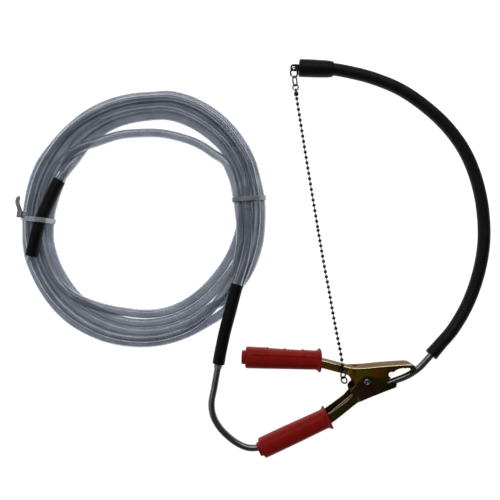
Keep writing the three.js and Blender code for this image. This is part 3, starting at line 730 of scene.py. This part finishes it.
def end_cap_piece():
    socket = [(0, CAP_BORE_DEPTH), (CAP_BORE, CAP_BORE_DEPTH), (CAP_BORE, CAP_LIP)]
    made = Surface()
    made.skin(turned_rings(CAP_MOUTH, CAP_WAY, socket + CAP_PROFILE, sides=40))
    made.skin(tab_rings(), looped=True)
    return finish_piece(made.object("rubber_end_cap", rubber, sharp=50), "cap", "rubber", "end_cap")


# ---------------------------------------------------------------- ball chain and its rings

CAP_TETHER = unit((0.12, -0.97, -0.2))                # from the tab towards the chain
CLAMP_TETHER = unit((0.05, 0.82, 0.57))               # from the arm's ring towards the chain
PLAIN = (0.68 * MM, 1)                                # wire radius and turns of a ring
SPLIT = (0.46 * MM, 1.85)
CAP_RING_RADIUS = 4.4 * MM
CAP_LINK_RADIUS = 4.3 * MM
CAP_SMALL_RADIUS = 2.6 * MM
HOOK = 1.3 * MM                                       # from one ring's wire to the next one's
RING_AT = CAP_RING_RADIUS
LINK_AT = RING_AT + CAP_RING_RADIUS - HOOK + CAP_LINK_RADIUS
SMALL_AT = LINK_AT + CAP_LINK_RADIUS - HOOK + CAP_SMALL_RADIUS
CAP_EYE_AT = SMALL_AT + CAP_SMALL_RADIUS
EYE_TO_CHAIN = 5.8 * MM
ARM_RING_RADIUS = 3.7 * MM
ARM_RING_CENTRE = np.array([-0.0202, 0.0059, 0.01965])
ACROSS_ARM_RING = unit((-0.66, 0, 0.75))
ARM_EYE_TURN = 0.75                                   # round the ring, from its hole
ARM_EYE = (ARM_RING_CENTRE + np.array([0, ARM_RING_RADIUS * math.cos(ARM_EYE_TURN), 0])
           + ACROSS_ARM_RING * ARM_RING_RADIUS * math.sin(ARM_EYE_TURN))
LOOSE_RING_RADIUS = 2.9 * MM      # hangs in the handle's ring, below the handle
LOOSE_WAY = unit((0.24, -0.97, 0))
CHAIN_MIDDLE = (-0.0406, 0.136, 0.0016)
CHAIN_JOINT = 0.15 * MM                               # half the gap between the halves
CAP_CHAIN = [
    TAB_HOLE + CAP_TETHER * (CAP_EYE_AT + EYE_TO_CHAIN), (-0.0590, 0.249, 0.0019),
    (-0.0569, 0.236, 0.0016), (-0.0505, 0.196, 0.0016),
    (CHAIN_MIDDLE[0], CHAIN_MIDDLE[1] + CHAIN_JOINT, BEAD_RADIUS),
]
CLAMP_CHAIN = [
    (CHAIN_MIDDLE[0], CHAIN_MIDDLE[1] - CHAIN_JOINT, BEAD_RADIUS), (-0.0349, 0.103, 0.00165),
    (-0.0305, 0.079, 0.0027), (-0.0272, 0.056, 0.0085), (-0.0248, 0.038, 0.017),
    (-0.0229, 0.024, 0.024), ARM_EYE + CLAMP_TETHER * EYE_TO_CHAIN,
]
LINK_WIRE = 0.42 * MM
BEAD_MOUTH = 0.75 * MM            # radius of the hole that a bead's link goes through
EYE_RADIUS = 1.4 * MM
COUPLING_PROFILE = in_mm(         # radius and distance from the eye of the crimped barrel
    (0.7, 0.95), (1.2, 1.05), (1.75, 1.6), (2.05, 2.4), (2.1, 3.1), (2.05, 3.8), (1.8, 4.5),
    (1.45, 4.9), (1.5, 5.15), (1.35, 5.3), (0.9, 5.3))


def bead_profile():
    """Radius and place along the chain, from one mouth of a hollow bead to the other."""
    start = math.asin(BEAD_MOUTH / BEAD_RADIUS)
    turns = np.linspace(start, math.pi - start, 9)
    return [(BEAD_RADIUS * math.sin(t), -BEAD_RADIUS * math.cos(t)) for t in turns]


def ball_chain(name, metal, route):
    """Hollow beads along a route, with a link of wire from each bead to the next."""
    path = even(smooth_curve(route), CHAIN_STEP)
    length = distances(path)[-1]
    count = round((length - 2 * BEAD_RADIUS) / BEAD_PITCH)
    places = np.linspace(BEAD_RADIUS, length - BEAD_RADIUS, count + 1)
    centres = resample(path, places)
    near = 0.3 * MM
    ways = resample(path, places + near) - resample(path, places - near)
    made = Surface()
    for centre, way in zip(centres, ways):
        made.skin(turned_rings(centre, way, bead_profile(), sides=14))
    made.skin(rings_along(even(path, CHAIN_WIRE_STEP), LINK_WIRE, circle(6)))
    return made.object(name, metal, sharp=60), path


def wire_loop(made, centre, along, across, radius, wire, turns=1, steps=40):
    """A ring of wire in the plane of two directions; more than one turn makes a split ring."""
    along = unit(along)
    normal = unit(np.cross(along, across))
    across = np.cross(normal, along)
    closed = turns == 1
    count = steps if closed else round(steps * turns)
    turn = np.arange(count) * 2 * math.pi / steps
    rise = np.zeros(count) if closed else (np.arange(count) / (count - 1) - 0.5) * 2 * wire * turns
    path = (centre + radius * np.cos(turn)[:, None] * along + radius * np.sin(turn)[:, None] * across
            + rise[:, None] * normal)
    section = circle(8)
    rings = []
    for point, a in zip(path, turn):
        out = along * math.cos(a) + across * math.sin(a)
        rings.append(point + wire * (section[:, :1] * out + section[:, 1:] * normal))
    made.skin(rings, looped=closed)


def ring_piece(name, metal, centre, along, across, radius, kind, body, node):
    made = Surface()
    wire_loop(made, centre, along, across, radius, *kind)
    finish_piece(made.object(name, metal), body, "nickel", node)


def coupling(name, metal, eye, along, across, body, node):
    """A chain end: a crimped barrel that holds the last bead, with an eye on it."""
    made = Surface()
    wire_loop(made, eye, along, across, EYE_RADIUS, LINK_WIRE, steps=24)
    made.skin(turned_rings(eye, along, COUPLING_PROFILE, sides=20))
    finish_piece(made.object(name, metal), body, "nickel", node)


def tether_pieces():
    nickel = bright_metal("nickel_plate", (0.05, 0.05, 0.055), 0.08, 0.22, edge=0.4)
    link_across = (-0.5, 0, 0.866)
    cap_rings = (
        ("cap_split_ring", RING_AT, (0.574, 0, 0.819), CAP_RING_RADIUS, SPLIT, "cap_ring"),
        ("cap_wire_link", LINK_AT, link_across, CAP_LINK_RADIUS, PLAIN, "cap_link"),
        ("cap_small_split_ring", SMALL_AT, (0.866, 0, 0.5), CAP_SMALL_RADIUS, SPLIT, "cap_small_ring"),
    )
    for name, at, across, radius, kind, node in cap_rings:
        centre = TAB_HOLE + CAP_TETHER * at
        ring_piece(name, nickel, centre, CAP_TETHER, across, radius, kind, "cap", node)
    coupling("chain_end_at_cap", nickel, TAB_HOLE + CAP_TETHER * CAP_EYE_AT, CAP_TETHER,
             link_across, "cap", "chain_coupling_cap")
    coupling("chain_end_at_clamp", nickel, ARM_EYE, CLAMP_TETHER, (1, 0, 0), "upper_arm",
             "chain_coupling_clamp")
    ring_piece("handle_ring", nickel, ARM_RING_CENTRE, (0, 1, 0), ACROSS_ARM_RING,
               ARM_RING_RADIUS, PLAIN, "upper_arm", "arm_ring")
    loose_centre = ARM_RING_CENTRE + (0, HOOK - ARM_RING_RADIUS, 0) + LOOSE_WAY * LOOSE_RING_RADIUS
    ring_piece("handle_loose_ring", nickel, loose_centre, LOOSE_WAY, (0.75, 0, 0.66),
               LOOSE_RING_RADIUS, PLAIN, "upper_arm", "arm_loose_ring")
    halves = (("chain_to_cap", CAP_CHAIN, "cap", "ball_chain_cap_half"),
              ("chain_to_clamp", CLAMP_CHAIN, "upper_arm", "ball_chain_clamp_half"))
    for name, route, body, node in halves:
        chain, path = ball_chain(name, nickel, route)
        if body == "upper_arm":
            path = path[::-1]
        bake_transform(chain)
        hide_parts(node)


# ---------------------------------------------------------------- spring clamp

SHEET = 1.2 * MM
LOWER_EAR_HALF = 11.3 * MM
UPPER_EAR_HALF = 9.6 * MM
HANDLE_HALF = 7.25 * MM
BEND_RADIUS = 1.3 * MM
LEAST_BEND = 0.1 * MM             # at the sheet's inner face
JOGGLE = (-18 * MM, -12 * MM)     # where a handle widens to its ears, along the plan's own axis

UPPER_WEB = [
    (-100, 23), (-48, 20.9), (-43.5, 19.7), (-27.9, 15.8), (-17, 12.8), (-14, 12.1), (-7.6, 12),
    (2.7, 12.6), (11.5, 13.7), (37.9, 15.6), (41.4, 14.8), (43.6, 13.3), (44.6, 11.4),
    (44.5, 9.2), (43.4, 7.8),
]
UPPER_EDGE = [
    (-100, 15.1), (-44, 12.7), (-38.8, 11.3), (-24.2, 7.5), (-16.1, 5.6), (-13.3, 2.3),
    (-11.1, -0.7), (-10, -4.2), (-8, -6.9), (-3.5, -8.4), (3, -8.7), (10, -6.4), (16, -2.6),
    (20.2, 1.2), (19.3, 3.6), (18.7, 6.2), (20.2, 8.1), (22, 8.6), (24, 8.1), (25.6, 9.8),
    (27.5, 10.7), (29.7, 11.4), (32, 12), (34, 11.5), (37, 12.3), (38.9, 11.4), (38.9, 9.4),
    (40.9, 8.1),
]
LOWER_WEB = [
    (-82.3, -61.3), (-37.2, -41.3), (-33.0, -39.4), (-28.5, -36.6), (-5.9, -18.4),
    (-2.6, -16.2), (17.3, -8.3), (25.4, -5.2),
]
LOWER_EDGE = [
    (-85.6, -54.1), (-40.3, -33.9), (-32.2, -29.8), (-11.5, -14.2), (-13.2, -9), (-12.4, -5.1),
    (-8.8, -2.7), (-5.3, 0.8), (-3, 3.5), (-0.6, 4.6), (3, 4.5), (7.1, 3.5), (13.2, 0.8),
    (15.8, -1), (20, -1.2), (25.3, 0.3), (26.2, -1.2), (26.2, -3),
]
UPPER_PLAN_TURN = -0.17
LOWER_PLAN_TURN = 0.6
HANDLE_HOLE = (-20.2 * MM, 9.6 * MM)
HANDLE_HOLE_RADIUS = 1.75 * MM
HANDLE_DRILL = (MID + 3 * MM, MID + 20 * MM)          # heights between which that hole is cut
WEB_HOLE = (-8.4 * MM, 5 * MM, 12.3 * MM)             # where the drill for the web's hole starts
WEB_HOLE_RADIUS = 2.8 * MM
WEB_DRILL = 12 * MM
ARM_SOFT = 0.35 * MM              # width of the bevel on the sheet's edges
GOLD_BANDS = (
    (-0.10, (0.36, 0.19, 0.02)), (-0.022, (0.30, 0.16, 0.02)), (-0.0165, (0.13, 0.05, 0.008)),
    (-0.009, (0.36, 0.19, 0.02)), (0.0, (0.27, 0.20, 0.012)), (0.010, (0.34, 0.13, 0.01)),
    (0.018, (0.12, 0.06, 0.015)), (0.046, (0.14, 0.085, 0.025)),
)
BROWN_BANDS = (
    (-0.09, (0.07, 0.035, 0.018)), (-0.035, (0.08, 0.04, 0.015)), (-0.022, (0.11, 0.095, 0.015)),
    (-0.008, (0.10, 0.045, 0.025)), (0.0, (0.08, 0.035, 0.02)), (0.012, (0.08, 0.06, 0.012)),
    (0.027, (0.04, 0.032, 0.012)),
)


def eased(line, rounds=2):
    """Cuts a line's corners, keeping its ends."""
    for _ in range(rounds):
        first = line[:-1] * 0.75 + line[1:] * 0.25
        second = line[:-1] * 0.25 + line[1:] * 0.75
        middle = np.stack([first, second], axis=1).reshape(-1, line.shape[1])
        line = np.vstack([line[:1], middle[1:-1], line[-1:]])
    return line


EVEN_SHARE = 0.08                 # how far the pairs are moved towards even spacing, so none coincide


def paired(web, edge, step):
    """Points of the web and of the flange's edge across from each other, along the whole arm."""
    fine_web = even(web, WEB_STEP)
    fine_edge = even(edge, EDGE_STEP)
    web_along, edge_along = distances(fine_web), distances(fine_edge)
    apart = np.linalg.norm(fine_edge[:, None] - fine_web[None], axis=2)
    nearest = np.maximum.accumulate(web_along[apart.argmin(axis=1)])
    nearest[0], nearest[-1] = 0, web_along[-1]
    evenly = edge_along / edge_along[-1] * web_along[-1]
    nearest = nearest + EVEN_SHARE * (evenly - nearest)
    window = np.ones(9) / 9
    nearest = np.convolve(np.pad(nearest, 4, mode="edge"), window, mode="valid")
    both = np.stack([nearest, edge_along], axis=1)
    travel = np.concatenate([[0], np.cumsum(abs(np.diff(both, axis=0)).max(axis=1))])
    at = np.linspace(0, travel[-1], round(travel[-1] / step) + 1)
    return (resample(fine_web, np.interp(at, travel, nearest)),
            resample(fine_edge, np.interp(at, travel, edge_along)))


def half_width(x, y, plan_turn, ear_half, depth):
    along = x * math.cos(plan_turn) + y * math.sin(plan_turn)
    t = np.clip((along - JOGGLE[0]) / (JOGGLE[1] - JOGGLE[0]), 0, 1)
    handle_half = HANDLE_HALF - depth
    return handle_half + (ear_half - handle_half) * t * t * (3 - 2 * t)


REAR_RISE = 2.6 * MM              # how much taller the lower handle's rear flange is than its front one
RISE_FROM = (-39 * MM, -36.5 * MM)


def arm_sections(web, edge, plan_turn, ear_half, depth, rear_rise):
    """Open sections of the pressed arm, from one flange's edge round the web to the other's.

    The depth is how far under the arm's outer face they lie."""
    web, edge = paired(eased(np.array(web) * MM), eased(np.array(edge) * MM, 1), ARM_STEP)
    ahead = np.gradient(web, axis=0)
    inwards = np.stack([ahead[:, 1], -ahead[:, 0]], axis=1)
    inwards /= np.linalg.norm(inwards, axis=1)[:, None]
    if (inwards * (edge - web)).sum() < 0:
        inwards = -inwards
    ear_half = ear_half - depth
    sections = []
    for w, e in zip(web + inwards * depth, edge):
        reach = np.linalg.norm(e - w)
        down = (e - w) / reach
        bend = min(max(BEND_RADIUS - depth, LEAST_BEND), 0.45 * reach)
        in_handle = (ear_half + depth - half_width(*e, plan_turn, ear_half + depth, 0)) / (
            ear_half + depth - HANDLE_HALF)
        rise = rear_rise * in_handle * np.interp(e[0], RISE_FROM, (0, 1))
        sides = []
        for tall in (reach, reach + rise):
            flange = []
            for v in np.linspace(tall, bend, 9)[:-1]:
                x, y = w + down * v
                flange.append((x, y, half_width(x, y, plan_turn, ear_half, depth)))
            sides.append(flange)
        top = half_width(*w, plan_turn, ear_half, depth)
        corner = []
        for turn in np.linspace(0, math.pi / 2, 6):
            x, y = w + down * bend * (1 - math.sin(turn))
            corner.append((x, y, top - bend * (1 - math.cos(turn))))
        front = sides[0] + corner
        back = [(x, y, -z) for x, y, z in (sides[1] + corner)[::-1]]
        middle = [(*w, z) for z in np.linspace(front[-1][2], -front[-1][2], 8)[1:-1]]
        sections.append(np.array(front + middle + back) + (0, 0, MID))
    return sections


def sheet_between(made, outer, inner):
    """Closes two grids of points, one sheet's thickness apart, into a solid sheet."""
    rows, columns = outer.shape[:2]
    index = np.arange(rows * columns).reshape(rows, columns)
    under = index + rows * columns
    faces = []
    for i in range(rows - 1):
        for j in range(columns - 1):
            a, b, c, d = index[i, j], index[i + 1, j], index[i + 1, j + 1], index[i, j + 1]
            faces.append((a, b, c, d))
            faces.append(tuple(under[k // columns, k % columns] for k in (d, c, b, a)))
    rim = [*index[:, 0], *index[-1, 1:], *index[-2::-1, -1], *index[0, -2:0:-1]]
    for a, b in zip(rim, rim[1:] + rim[:1]):
        faces.append((b, a, a + rows * columns, b + rows * columns))
    made.add(np.concatenate([outer.reshape(-1, 3), inner.reshape(-1, 3)]), faces)


def baked(piece):
    """The piece with its modifiers applied."""
    graph = bpy.context.evaluated_depsgraph_get()
    final = bpy.data.meshes.new_from_object(piece.evaluated_get(graph))
    piece.modifiers.clear()
    piece.data = final
    return piece


def cut(piece, cutter):
    """The piece with the cutter's shape taken out of it."""
    modifier = piece.modifiers.new("cut", "BOOLEAN")
    modifier.operation = "DIFFERENCE"
    modifier.solver = "EXACT"
    modifier.object = cutter
    baked(piece)
    bpy.data.objects.remove(cutter)
    return piece


def prism(outline, low, high, material):
    return skinned("cutter", material, [np.array([(x, y, z) for x, y in outline]) for z in (low, high)])


def pressed_arm(name, zinc, web, edge, plan_turn, ear_half, rear_rise=0.0):
    outer, inner = (np.array(arm_sections(web, edge, plan_turn, ear_half, depth, rear_rise))
                    for depth in (0, SHEET))
    made = Surface()
    sheet_between(made, outer, inner)
    return made.object(name, zinc, sharp=50)


def softened(piece, width):
    bevel = piece.modifiers.new("edges", "BEVEL")
    bevel.width = width
    bevel.segments = 2
    bevel.limit_method = "ANGLE"
    bevel.angle_limit = math.radians(50)
    bevel.harden_normals = False


def arm_pieces():
    # For each arm: the bands, then the colour of the painted highlight, then the pink tint that is
    # partly painted sheen.
    zinc = yellow_zinc("gold_zinc", GOLD_BANDS, (0.62, 0.54, 0.34), (0.24, 0.15, 0.12))
    dark = yellow_zinc("brown_zinc", BROWN_BANDS, (0.34, 0.28, 0.11), (0.07, 0.032, 0.025))
    upper = pressed_arm("pressed_upper_arm", zinc, UPPER_WEB, UPPER_EDGE, UPPER_PLAN_TURN,
                        UPPER_EAR_HALF)
    hole = [np.array(HANDLE_HOLE) + HANDLE_HOLE_RADIUS * p for p in circle(20)]
    cut(upper, prism(hole, *HANDLE_DRILL, zinc))
    profile = [(0, 0), (WEB_HOLE_RADIUS, 0), (WEB_HOLE_RADIUS, WEB_DRILL), (0, WEB_DRILL)]
    cut(upper, skinned("cutter", zinc, turned_rings(np.array(WEB_HOLE), (0, 1, 0), profile)))
    lower = pressed_arm("pressed_lower_arm", dark, LOWER_WEB, LOWER_EDGE, LOWER_PLAN_TURN,
                        LOWER_EAR_HALF, REAR_RISE)
    for arm, body, node in ((upper, "upper_arm", "upper_arm"), (lower, "root", "lower_arm")):
        softened(arm, ARM_SOFT)
        finish_piece(arm, body, "zinc", node)


def rivet_piece():
    """A semi-tubular rivet: a flat head under the clamp, and a rolled head with a dimple on top."""
    ear = MID - LOWER_EAR_HALF
    top = 2 * MID
    parts = (                     # each from a height of its own
        (0, ((0, 0), (4.1, 0), (4.4, 0.12), (4.5, 0.4))),
        (ear, ((4.5, -0.6), (4.2, -0.3), (2.5, -0.3))),
        (top - ear, ((2.4, 0.1), (2.75, 0.15))),
        (top, ((2.85, -1), (2.75, -0.5), (2.45, -0.15), (2, 0), (1.6, -0.05), (1.3, -0.3),
               (1.05, -0.9), (0.9, -1.6), (0.5, -1.9), (0, -2))),
    )
    profile = [(r, height + z) for height, part in parts for r, z in in_mm(*part)]
    rings = turned_rings(np.zeros(3), (0, 0, 1), profile, sides=36, start=(1, 0, 0))
    metal = bright_metal("rivet_zinc", (0.22, 0.27, 0.32), 0.16, 0.32)
    finish_piece(skinned("rolled_rivet", metal, rings), "root", "rivet", "pivot_rivet")


# Torsion spring round the rivet: lower leg, coil turning up the axis, upper leg.
SPRING_RADIUS = 4.6 * MM
SPRING_WIRE = 0.9 * MM
SPRING_HALF = 4.5 * MM
SPRING_FROM = math.radians(-47.1)
SPRING_TURN = math.radians(119.9 + 4 * 360)
LOWER_LEG_TIP = (-0.0255, -0.0296, MID - SPRING_HALF)
UPPER_LEG_TIP = (-0.024, 0.0121, MID + SPRING_HALF)


def spring_piece():
    share = np.linspace(0, 1, 160)
    turn = SPRING_FROM + share * SPRING_TURN
    coil = np.stack([SPRING_RADIUS * np.cos(turn), SPRING_RADIUS * np.sin(turn),
                     MID - SPRING_HALF + 2 * SPRING_HALF * share], axis=1)
    path = even(np.vstack([[LOWER_LEG_TIP], coil, [UPPER_LEG_TIP]]), SPRING_STEP)
    metal = bright_metal("spring_steel", (0.32, 0.32, 0.33), 0.28, 0.5)
    spring = skinned("torsion_spring", metal, rings_along(path, SPRING_WIRE, circle(12)))
    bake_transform(spring)
    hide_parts("jaw_spring")


# ---------------------------------------------------------------- grips

GRIP_DEPTH_RATIO = 1.18           # depth over height of a grip's oval
GRIP_SIDES = 120
UPPER_GRIP = ((-39.5, 17.0), (-110.8, 19.9))
LOWER_GRIP = ((-32.3, -33.9), (-95.1, -63.3))
GROOVE_TURN = 24.0                # degrees from the grip's front face towards its outer side
GROOVE_WIDTH = 0.55 * MM
GROOVE_DEPTH = 0.7 * MM
GROOVE_SPAN = (4.5 * MM, 61.5 * MM)
RIB_PLACES = (16.4, 32.4, 48.0)   # millimetres behind the flange
RIB_WIDTH = 0.8 * MM
RIB_HEIGHT = 0.8 * MM
RIB_SPAN = (33.0, 150.0)          # degrees round from the front face
UPPER_POCKET = [(-30, 8.2), (-44.1, 12.3), (-100.4, 14.7), (-100.4, 23.5), (-47.9, 21.3),
                (-43.4, 20.1), (-30, 16.9)]
LOWER_POCKET = [(-20, -31.5), (-33.1, -40), (-37.2, -41.8), (-82.9, -61.9), (-86.4, -54.2),
                (-40.5, -33.1), (-38.8, -29), (-33.8, -26.6), (-24, -19)]
POCKET_GAP = 0.3 * MM
HOLLOW_DEPTH = 0.3 * MM           # of the grip's outer side between its first and last rib
HOLLOW_SPAN = (RIB_SPAN[0] + 8, RIB_SPAN[1] - 8)
RELIEF_SOFT = 0.3 * MM            # length over which the groove and the hollow end
RELIEF_MARGINS = (4.5 * MM, 4 * MM)       # plain lengths at the flange and at the closed end
FINE_MARGINS = (4.6 * MM, 4.2 * MM)       # lengths there that have only their profile's points
OVAL_POWER = 2.35
# Radius and distance from the flange, in millimetres; the backs count from the far end.
GRIP_FLANGE = [(9.0, 0), (9.7, 0.12), (10.2, 0.45), (10.45, 1.0), (10.4, 1.5), (10.0, 2.0), (9.3, 2.7),
               (8.7, 3.6), (8.35, 4.6)]
UPPER_SWELL = [(8.5, 12), (8.8, 30), (9.25, 50)]
UPPER_BACK = [(9.5, 6.5), (9.4, 5), (9.0, 4.2), (8.5, 3.8), (6.3, 3.7), (6.1, 3.5), (6.0, 0.9),
              (5.7, 0.3), (5.2, 0), (0.3, 0)]
LOWER_SWELL = [(8.4, 12), (8.6, 25), (8.8, 40)]
LOWER_BACK = [(8.85, 9), (8.75, 4), (8.6, 3.4), (8.3, 3.1), (6.5, 3.0), (6.3, 2.8), (6.1, 0.6),
              (5.8, 0.15), (5.4, 0), (0.3, 0)]
PIPE_GROOVE_GAP = 0.2 * MM
PIPE_GROOVE_SPAN = (-0.103, -0.07)        # where the pipe leaves the lower grip, along X


def within(value, low, high, soft):
    """One inside a span, falling to nothing over a soft distance past each end."""
    return 1 / (1 + np.exp(-(value - low) / soft)) / (1 + np.exp((value - high) / soft))


def grip_relief(s, degrees, radius):
    """How far a grip's surface stands out at a distance from its flange and a turn round it."""
    relief = 0.0
    for front in (degrees, 180 - degrees):
        arc = math.radians(front - GROOVE_TURN) * radius
        depth = GROOVE_DEPTH * math.exp(-(arc / GROOVE_WIDTH) ** 4)
        relief -= depth * within(s, *GROOVE_SPAN, RELIEF_SOFT)
    for place in RIB_PLACES:
        rise = math.exp(-((s - place * MM) / RIB_WIDTH) ** 4)
        relief += RIB_HEIGHT * rise * within(degrees, *RIB_SPAN, 3)
    hollow = within(s, RIB_PLACES[0] * MM, RIB_PLACES[-1] * MM, RELIEF_SOFT)
    return relief - HOLLOW_DEPTH * hollow * within(degrees, *HOLLOW_SPAN, 1.5)


def oval(degrees):
    """A unit oval, a little squarer than an ellipse: out across the grip, and towards its front."""
    turn = math.radians(degrees)
    out, front = math.sin(turn), math.cos(turn)
    scale = (abs(out) ** OVAL_POWER + abs(front) ** OVAL_POWER) ** (-1 / OVAL_POWER)
    return out * scale, front * scale * GRIP_DEPTH_RATIO


def grip_body(name, plastic, ends, swell, back, relief, pocket):
    """A grip between two ends, with a pocket for the arm's handle."""
    length = float(np.linalg.norm(np.subtract(*ends)))
    profile = GRIP_FLANGE + swell + [(radius, length - s) for radius, s in back]
    first, last = (np.array((*end, MID / MM)) * MM for end in ends)
    way = unit(last - first)
    outer = np.array([way[1], -way[0], 0.0])
    if outer[1] < 0:
        outer = -outer
    radii, places = np.array(profile).T * MM
    between = np.arange(FINE_MARGINS[0], places[-1] - FINE_MARGINS[1], GRIP_STEP)
    start, end = RELIEF_MARGINS[0], places[-1] - RELIEF_MARGINS[1]
    rings = []
    for s in np.unique(np.concatenate([places, between])):
        radius = np.interp(s, places, radii)
        ring = []
        for i in range(GRIP_SIDES):
            degrees = 360 * i / GRIP_SIDES
            signed = degrees if degrees <= 270 else degrees - 360
            grown = radius
            if relief and start < s < end:
                grown = radius + grip_relief(s, signed, radius)
            out, forward = oval(degrees)
            ring.append(first + way * s + outer * out * grown + np.array([0, 0, forward * grown]))
        rings.append(np.array(ring))
    grip = skinned(name, plastic, rings, sharp=38)
    low, high = MID - HANDLE_HALF - POCKET_GAP, MID + HANDLE_HALF + POCKET_GAP
    return cut(grip, prism(np.array(pocket) * MM, low, high, plastic))


def grip_pieces():
    plastic = red_plastic()
    upper = grip_body("upper_handle_grip", plastic, UPPER_GRIP, UPPER_SWELL, UPPER_BACK, True,
                      UPPER_POCKET)
    finish_piece(upper, "upper_arm", "grip", "upper_grip")
    lower = grip_body("lower_handle_grip", plastic, LOWER_GRIP, LOWER_SWELL, LOWER_BACK, False,
                      LOWER_POCKET)
    path = smooth_curve(PIPE_ROUTE)
    start, end = PIPE_GROOVE_SPAN
    path = even(path[(path[:, 0] > start) & (path[:, 0] < end)], PIPE_STEP)
    groove = rings_along(path, PIPE_RADIUS + PIPE_GROOVE_GAP, circle(24))
    cut(lower, skinned("cutter", plastic, groove))
    finish_piece(lower, "root", "grip", "lower_grip")


# ---------------------------------------------------------------- cable ties

TIE_HALF_WIDTH = 2.1 * MM
TIE_REACH = 30 * MM               # half of the bundle's width that a tie may hold
TIE_SOFT = 0.3 * MM
HEAD_HALF = np.array([2.3, 2.9, 2.1]) * MM
HEAD_SOFT = 0.5 * MM
TAIL_HALF_WIDTH = 1.75 * MM
TAIL_HALF_THICK = (0.42 * MM, 0.55 * MM)  # between its teeth, and at them
TAIL_TIP = 0.45                   # share of the width left at the tail's tip
TAIL_TAPER = 7                    # points of the tail


def tie_axes(tie):
    """A tie's place, and its directions across the hoses, along them and up."""
    x, y, turn = tie
    across = (math.cos(turn), math.sin(turn), 0)
    along = (-math.sin(turn), math.cos(turn), 0)
    return np.array([x, y, 0]), np.array([across, along, (0, 0, 1)])


def crossings(tie):
    """Where the clear hose and its sleeves cross a tie's plane: across, up, and radius."""
    origin, (across, along, _) = tie_axes(tie)
    side = (clear_path[:, :2] - origin[:2]) @ along[:2]
    found = []
    for i in np.nonzero(side[:-1] * side[1:] <= 0)[0]:
        share = side[i] / (side[i] - side[i + 1])
        point = clear_path[i] * (1 - share) + clear_path[i + 1] * share
        u = (point[:2] - origin[:2]) @ across[:2]
        if abs(u) < TIE_REACH:
            found.append((u, point[2], clear_room[i]))
    return found


def hull(points):
    """The convex outline of flat points, anticlockwise."""
    points = sorted(map(tuple, points))
    line = []
    for stage in (points, points[::-1]):
        start = len(line)
        for p in stage:
            while len(line) >= start + 2:
                (ax, ay), (bx, by) = line[-2:]
                if (bx - ax) * (p[1] - ay) - (by - ay) * (p[0] - ax) > 0:
                    break
                line.pop()
            line.append(p)
        line.pop()
    return np.array(line)


def tie_band(made, tie, loop):
    """The strap: a flat section carried round the loop, outside it."""
    origin, (across, along, _) = tie_axes(tie)
    ahead = np.roll(loop, -1, axis=0) - np.roll(loop, 1, axis=0)
    ahead /= np.linalg.norm(ahead, axis=1)[:, None]
    out = np.stack([ahead[:, 1], -ahead[:, 0]], axis=1)
    wide, thick, soft = TIE_HALF_WIDTH, TIE_THICK, TIE_SOFT
    section = [(-wide, 0), (wide, 0), (wide, thick - soft), (wide - soft, thick),
               (-wide + soft, thick), (-wide, thick - soft)]
    rings = []
    for (u, z), (ou, oz) in zip(loop, out):
        rings.append(np.array([origin + across * (u + ou * t) + along * v + np.array([0, 0, z + oz * t])
                               for v, t in section]))
    made.skin(rings, looped=True)


def tie_loop(tie):
    """A closed line round all that a tie holds."""
    points = []
    for u, z, radius in crossings(tie):
        points += [(u + radius * a, z + radius * b) for a, b in circle(40)]
    outline = hull(points)
    outline = even(np.vstack([outline, outline[:1]]), TIE_STEP)[:-1]
    for _ in range(3):
        outline = (np.roll(outline, 1, axis=0) + 2 * outline + np.roll(outline, -1, axis=0)) / 4
    outline[:, 1] = np.maximum(outline[:, 1], TIE_THICK)
    return outline


def tie_piece(name, nylon, tie, node, head, tail):
    """A strap round the bundle, its ratchet head, and the toothed tail beyond the head."""
    made = Surface()
    tie_band(made, tie, tie_loop(tie))
    origin, axes = tie_axes(tie)
    centre = np.array(head) * MM
    x, y, z = HEAD_HALF
    rings = []
    for level, inset in ((-z, HEAD_SOFT), (-z + HEAD_SOFT, 0), (z - HEAD_SOFT, 0), (z, HEAD_SOFT)):
        corners = [(a * (x - inset), b * (y - inset), level) for a, b in SQUARE]
        rings.append(np.array([origin + (centre + corner) @ axes for corner in corners]))
    made.skin(rings)
    path = even(smooth_curve(np.array(tail) * MM), TAIL_STEP)
    path = np.array([origin + p @ axes for p in path])
    _, side, up = turning_frames(path)
    rings = []
    for i, (p, s, u) in enumerate(zip(path, side, up)):
        left = len(path) - 1 - i
        wide = TAIL_HALF_WIDTH * min(1, TAIL_TIP + left / TAIL_TAPER)
        thick = TAIL_HALF_THICK[i % 2]
        rings.append(np.array([p + s * a * wide + u * b * thick for a, b in SQUARE]))
    made.skin(rings)
    return finish_piece(made.object(name, nylon, sharp=30), "root", "nylon", node)


nylon = white_nylon()
left_strap = tie_piece("left_tie_strap", nylon, LEFT_TIE, "tie_left", (-15.8, 3, 13.2), [
    (-15, 4.2, 13.6), (-16.6, 9, 15), (-18.4, 14, 15.4), (-17.8, 19, 14.6)])
right_strap = tie_piece("right_tie_strap", nylon, RIGHT_TIE, "tie_right", (-1, 0, 2.2), [
    (-2.5, 1, 1.2), (-5, 2.2, 0.8), (-8.5, 3.5, 0.8)])
delivery_hose, delivery_path = delivery_hose_piece()
end_cap = end_cap_piece()
tether_pieces()
steel_pipe_piece()
arm_pieces()
rivet_piece()
spring_piece()
grip_pieces()
